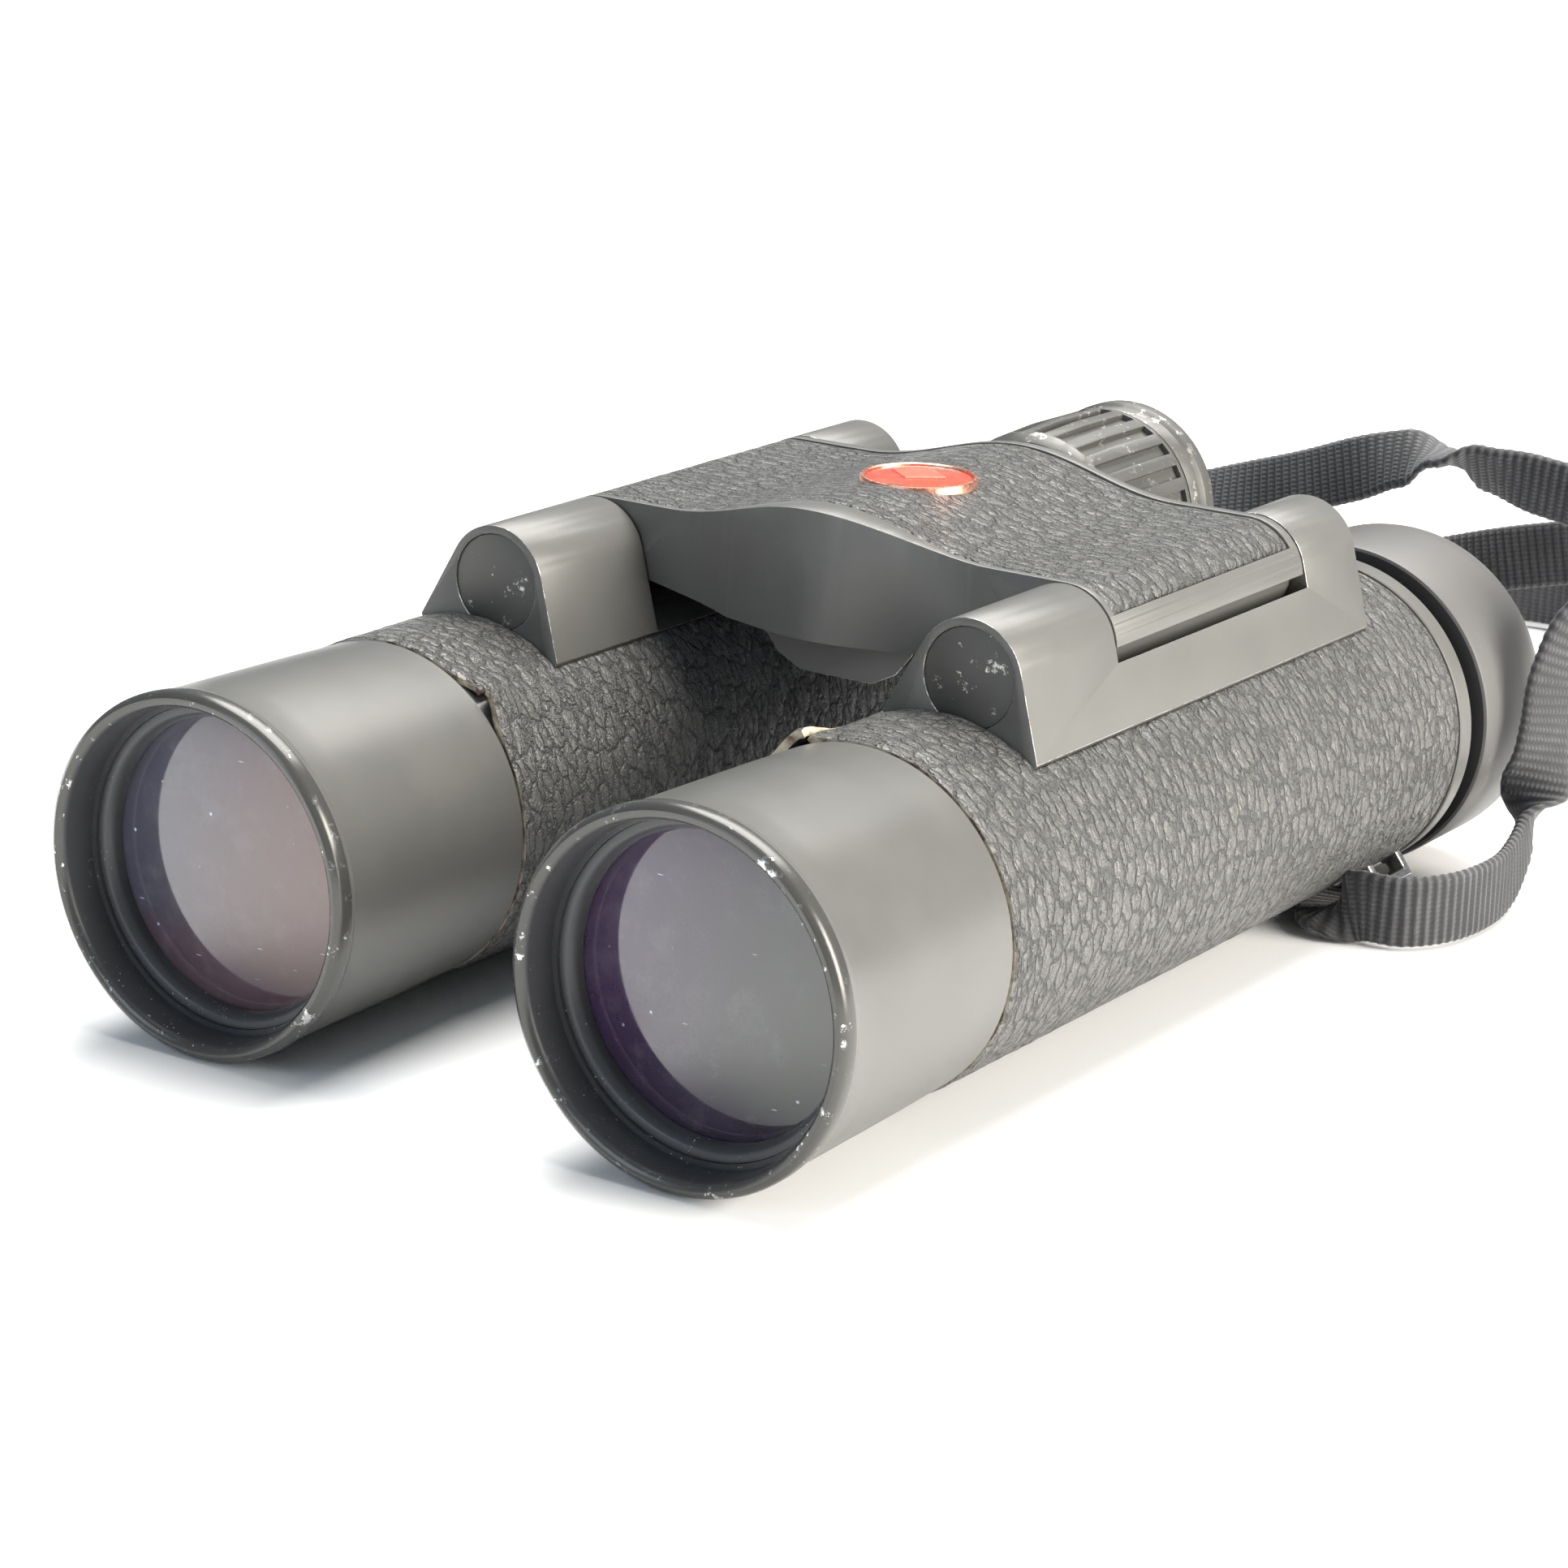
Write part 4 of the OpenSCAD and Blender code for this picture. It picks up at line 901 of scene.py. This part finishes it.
def tie():
    """A short band round the coil that holds its turns and both ends."""
    low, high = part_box("strap_coil")
    cx, cs = (low.x + high.x) / 2 / MM, ((low.y + high.y) / 2 - FRONT) / MM
    at = math.radians(170)
    out = Vector((math.cos(at), math.sin(at), 0))
    run = Vector((-math.sin(at), math.cos(at), 0))
    middle_r = (COIL_OUT + COIL_IN) / 2
    half_w, bottom, top = 5.9, 0.16, 8.1
    corners = []
    for n in range(48):
        a = FULL * n / 48
        x = math.copysign(abs(math.cos(a)) ** 0.35, math.cos(a)) * half_w
        z = (bottom + top) / 2 + math.copysign(abs(math.sin(a)) ** 0.35, math.sin(a)) * (top - bottom) / 2
        corners.append((x, z))
    bm = bmesh.new()
    uv = bm.loops.layers.uv.new("strap")
    grid = []
    for k in range(13):
        w = -3 + 6 * k / 12
        thin = 0.12 if k in (0, 12) else 0
        grid.append([bm.verts.new(Vector((cx, station(cs) / MM, 0)) * MM + (out * (middle_r + x * (1 - thin * 0.1))
                                  + run * w + Vector((0, 0, z))) * MM) for x, z in corners])
    for k in range(12):
        for n in range(48):
            m = (n + 1) % 48
            face = bm.faces.new((grid[k][n], grid[k][m], grid[k + 1][m], grid[k + 1][n]))
            for loop, (q, v) in zip(face.loops, ((k, n), (k, n + 1), (k + 1, n + 1), (k + 1, n))):
                loop[uv].uv = (q * 0.5 - 3, v * 0.6)
    bmesh.ops.recalc_face_normals(bm, faces=bm.faces[:])
    bmesh.ops.solidify(bm, geom=bm.faces[:], thickness=0.0003)
    mesh = bpy.data.meshes.new("strap_tie")
    bm.to_mesh(mesh)
    bm.free()
    mesh.materials.append(finish("webbing"))
    for face in mesh.polygons:
        face.use_smooth = True
    piece = bpy.data.objects.new("strap_tie", mesh)
    bpy.context.scene.collection.objects.link(piece)
    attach(piece, "bridge")


# ---------- operators ----------

FLOOR_RADIUS, FLOOR_DROP = 6.0, 0.0002
SKY_COLOUR, SKY_STRENGTH = (0.78, 0.89, 1.0, 1), 0.3
LIGHTS = (
    # name, place, size, power, colour
    ("key", (0.92, 0.12, 0.34), 0.6, 23.0, (1.0, 0.955, 0.87)),
    ("top", (-0.1, 0.35, 0.95), 0.9, 27.0, (1.0, 0.985, 0.95)),
    ("front", (-0.2, -0.95, 0.5), 0.6, 3.0, (0.75, 0.87, 1.0)),
)
LIGHTS_AIM = (0.0, 0.0, 0.015)
CAMERA_PLACE = (0.1895, -0.2930, 0.1177)
CAMERA_TURN, CAMERA_TILT, CAMERA_ROLL = 33.78, 16.74, 1.67
CAMERA_LENS, CAMERA_SENSOR = 102.48, 36.0


class BINOCULARS_OT_stage(bpy.types.Operator):
    """Makes the floor, the studio lights and the camera"""
    bl_idname = "binoculars.stage"
    bl_label = "Stage"

    def execute(self, context):
        scene = context.scene
        bm = bmesh.new()
        bmesh.ops.create_circle(bm, cap_ends=True, segments=64, radius=FLOOR_RADIUS)
        mesh = bpy.data.meshes.new("floor")
        bm.to_mesh(mesh)
        bm.free()
        mesh.materials.append(finish("floor"))
        floor = bpy.data.objects.new("floor", mesh)
        floor.data.transform(Matrix.Translation((0, 0, -FLOOR_DROP)))
        scene.collection.objects.link(floor)

        world = bpy.data.worlds.new("studio")
        scene.world = world
        world.use_nodes = True
        sky = world.node_tree.nodes.get("Background") or world.node_tree.nodes.new("ShaderNodeBackground")
        sky.inputs["Color"].default_value = SKY_COLOUR
        sky.inputs["Strength"].default_value = SKY_STRENGTH
        out = world.node_tree.nodes.get("World Output") or world.node_tree.nodes.new("ShaderNodeOutputWorld")
        world.node_tree.links.new(sky.outputs[0], out.inputs[0])

        aim = Vector(LIGHTS_AIM)
        for name, spot, size, power, tint in LIGHTS:
            light = bpy.data.lights.new(name, "AREA")
            light.shape = "SQUARE"
            light.size = size
            light.energy = power
            light.color = tint
            lamp = bpy.data.objects.new(name, light)
            lamp.location = spot
            lamp.rotation_mode = "QUATERNION"
            lamp.rotation_quaternion = (aim - Vector(spot)).to_track_quat("-Z", "Y")
            scene.collection.objects.link(lamp)

        camera = bpy.data.cameras.new("camera")
        camera.lens = CAMERA_LENS
        camera.sensor_width = CAMERA_SENSOR
        camera.clip_start, camera.clip_end = 0.01, 20
        holder = bpy.data.objects.new("camera", camera)
        turn, tilt, roll = (math.radians(a) for a in (CAMERA_TURN, CAMERA_TILT, CAMERA_ROLL))
        back = Vector((math.sin(turn) * math.cos(tilt), -math.cos(turn) * math.cos(tilt), math.sin(tilt)))
        right = Vector((0, 0, 1)).cross(back).normalized()
        up = back.cross(right)
        c, s = math.cos(roll), math.sin(roll)
        right, up = right * c + up * s, up * c - right * s
        holder.matrix_world = Matrix.Translation(CAMERA_PLACE) @ Matrix(
            (right, up, back)).transposed().to_4x4()
        scene.collection.objects.link(holder)
        scene.camera = holder
        scene.view_settings.view_transform = "Standard"
        return {"FINISHED"}


class BINOCULARS_OT_straps(bpy.types.Operator):
    """Makes both ends of the webbing strap, its coil and the tie"""
    bl_idname = "binoculars.straps"
    bl_label = "Strap"

    def execute(self, context):
        straps()
        tie()
        return {"FINISHED"}


class BINOCULARS_OT_objectives(bpy.types.Operator):
    """Makes the front tubes, their retaining rings and the coated front lenses"""
    bl_idname = "binoculars.objectives"
    bl_label = "Front tubes"

    def execute(self, context):
        for side in SIDES:
            objective_tube(side)
            retaining_ring(side)
            front_lens(side)
        return {"FINISHED"}


class BINOCULARS_OT_leather(bpy.types.Operator):
    """Makes the leather of the barrels and of the bridge"""
    bl_idname = "binoculars.leather"
    bl_label = "Leather"

    def execute(self, context):
        for side in SIDES:
            barrel_leather(side)
        bridge_leather()
        return {"FINISHED"}


class BINOCULARS_OT_metalwork(bpy.types.Operator):
    """Rounds the edges of the bridge, the brackets and their plugs"""
    bl_idname = "binoculars.metalwork"
    bl_label = "Bridge and brackets"

    def execute(self, context):
        edge = sizes().edge
        machined("bridge_frame", "bridge_block", ["anodised", "anodised_edge"], edge, 1)
        machined("bridge_bottom_cover", "bridge_keel", ["anodised", "anodised_edge"], edge * 1.4, 1)
        for side in SIDES:
            machined(f"{side}_hinge_bracket", f"{side}_bracket", ["anodised", "anodised_edge"], edge * 1.3, 1)
            machined(f"{side}_hinge_plugs", f"{side}_plugs", ["plug_metal"], edge * 0.6)
            machined(f"{side}_strap_lug", f"{side}_lug", ["steel"], edge)
        return {"FINISHED"}


class BINOCULARS_OT_badge(bpy.types.Operator):
    """Makes the round enamel badge"""
    bl_idname = "binoculars.badge"
    bl_label = "Badge"

    def execute(self, context):
        badge()
        return {"FINISHED"}


class BINOCULARS_OT_wheel(bpy.types.Operator):
    """Rounds the ribs of the focus wheel and its cap"""
    bl_idname = "binoculars.wheel"
    bl_label = "Focus wheel"

    def execute(self, context):
        edge = sizes().edge
        machined("focus_wheel", "wheel_knurl", ["wheel_metal"], edge * 0.8)
        machined("focus_wheel_cap", "wheel_cap", ["wheel_metal"], edge * 0.6)
        return {"FINISHED"}


class BINOCULARS_OT_eyepieces(bpy.types.Operator):
    """Makes the eyecups and the rings in front of them"""
    bl_idname = "binoculars.eyepieces"
    bl_label = "Eyecups"

    def execute(self, context):
        for side in SIDES:
            eyecup(side)
            rear_ring(side)
        return {"FINISHED"}


class BINOCULARS_OT_inner_parts(bpy.types.Operator):
    """Gives every part that keeps its CAD shape its finish"""
    bl_idname = "binoculars.inner_parts"
    bl_label = "Inner parts"

    def execute(self, context):
        plain = {
            "bridge_top_plate": "alloy", "bottom_cover_screws": "steel", "front_hinge_pins": "steel",
            "rear_hinge_pins": "steel", "hinge_washers": "brass", "focus_bush": "brass", "focus_shaft": "steel",
            "focus_wheel_screw": "steel", "focus_yoke": "brass"}
        paired = {
            "objective_rear_lens": "clear_glass", "barrel_shell": "alloy", "prism_holder": "inner_black",
            "prisms": "clear_glass", "eyepiece_tube": "inner_black", "focus_rod": "brass",
            "focus_lens": "clear_glass"}
        for node, name in plain.items():
            repaint(node, name)
        for side in SIDES:
            for node, name in paired.items():
                repaint(f"{side}_{node}", name)
            centre = middle(f"{side}_eye_lenses")
            # The eye lenses get painted reflection tints and a painted shadow colour as well
            repaint(f"{side}_eye_lenses", coated_lens(
                f"{side}_eye_coating", centre, 0.0096, (0.03, 0.045, 0.07), (0.06, 0.04, 0.075), (0.02, 0.02, 0.03)))
        return {"FINISHED"}


class BINOCULARS_PT_panel(bpy.types.Panel):
    """Lists the builders and their sizes and colours"""
    bl_idname = "BINOCULARS_PT_panel"
    bl_label = "Binoculars"
    bl_space_type = "VIEW_3D"
    bl_region_type = "UI"
    bl_category = "Binoculars"

    def draw(self, context):
        for group in (context.scene.binocular_sizes, context.scene.binocular_colours):
            for key in type(group).__annotations__:
                self.layout.prop(group, key)
        for cls in OPERATORS:
            self.layout.operator(cls.bl_idname)


OPERATORS = (BINOCULARS_OT_stage, BINOCULARS_OT_straps, BINOCULARS_OT_objectives, BINOCULARS_OT_leather,
             BINOCULARS_OT_metalwork, BINOCULARS_OT_badge, BINOCULARS_OT_wheel, BINOCULARS_OT_eyepieces,
             BINOCULARS_OT_inner_parts)
CLASSES = (BinocularSizes, BinocularColours, *OPERATORS, BINOCULARS_PT_panel)


def register():
    for cls in CLASSES:
        bpy.utils.register_class(cls)
    bpy.types.Scene.binocular_sizes = bpy.props.PointerProperty(type=BinocularSizes)
    bpy.types.Scene.binocular_colours = bpy.props.PointerProperty(type=BinocularColours)


def unregister():
    del bpy.types.Scene.binocular_colours
    del bpy.types.Scene.binocular_sizes
    for cls in reversed(CLASSES):
        bpy.utils.unregister_class(cls)


def main():
    register()
    for name in ("stage", "straps", "objectives", "leather", "metalwork", "badge", "wheel", "eyepieces",
                 "inner_parts"):
        getattr(bpy.ops.binoculars, name)()


if __name__ == "__main__":
    main()
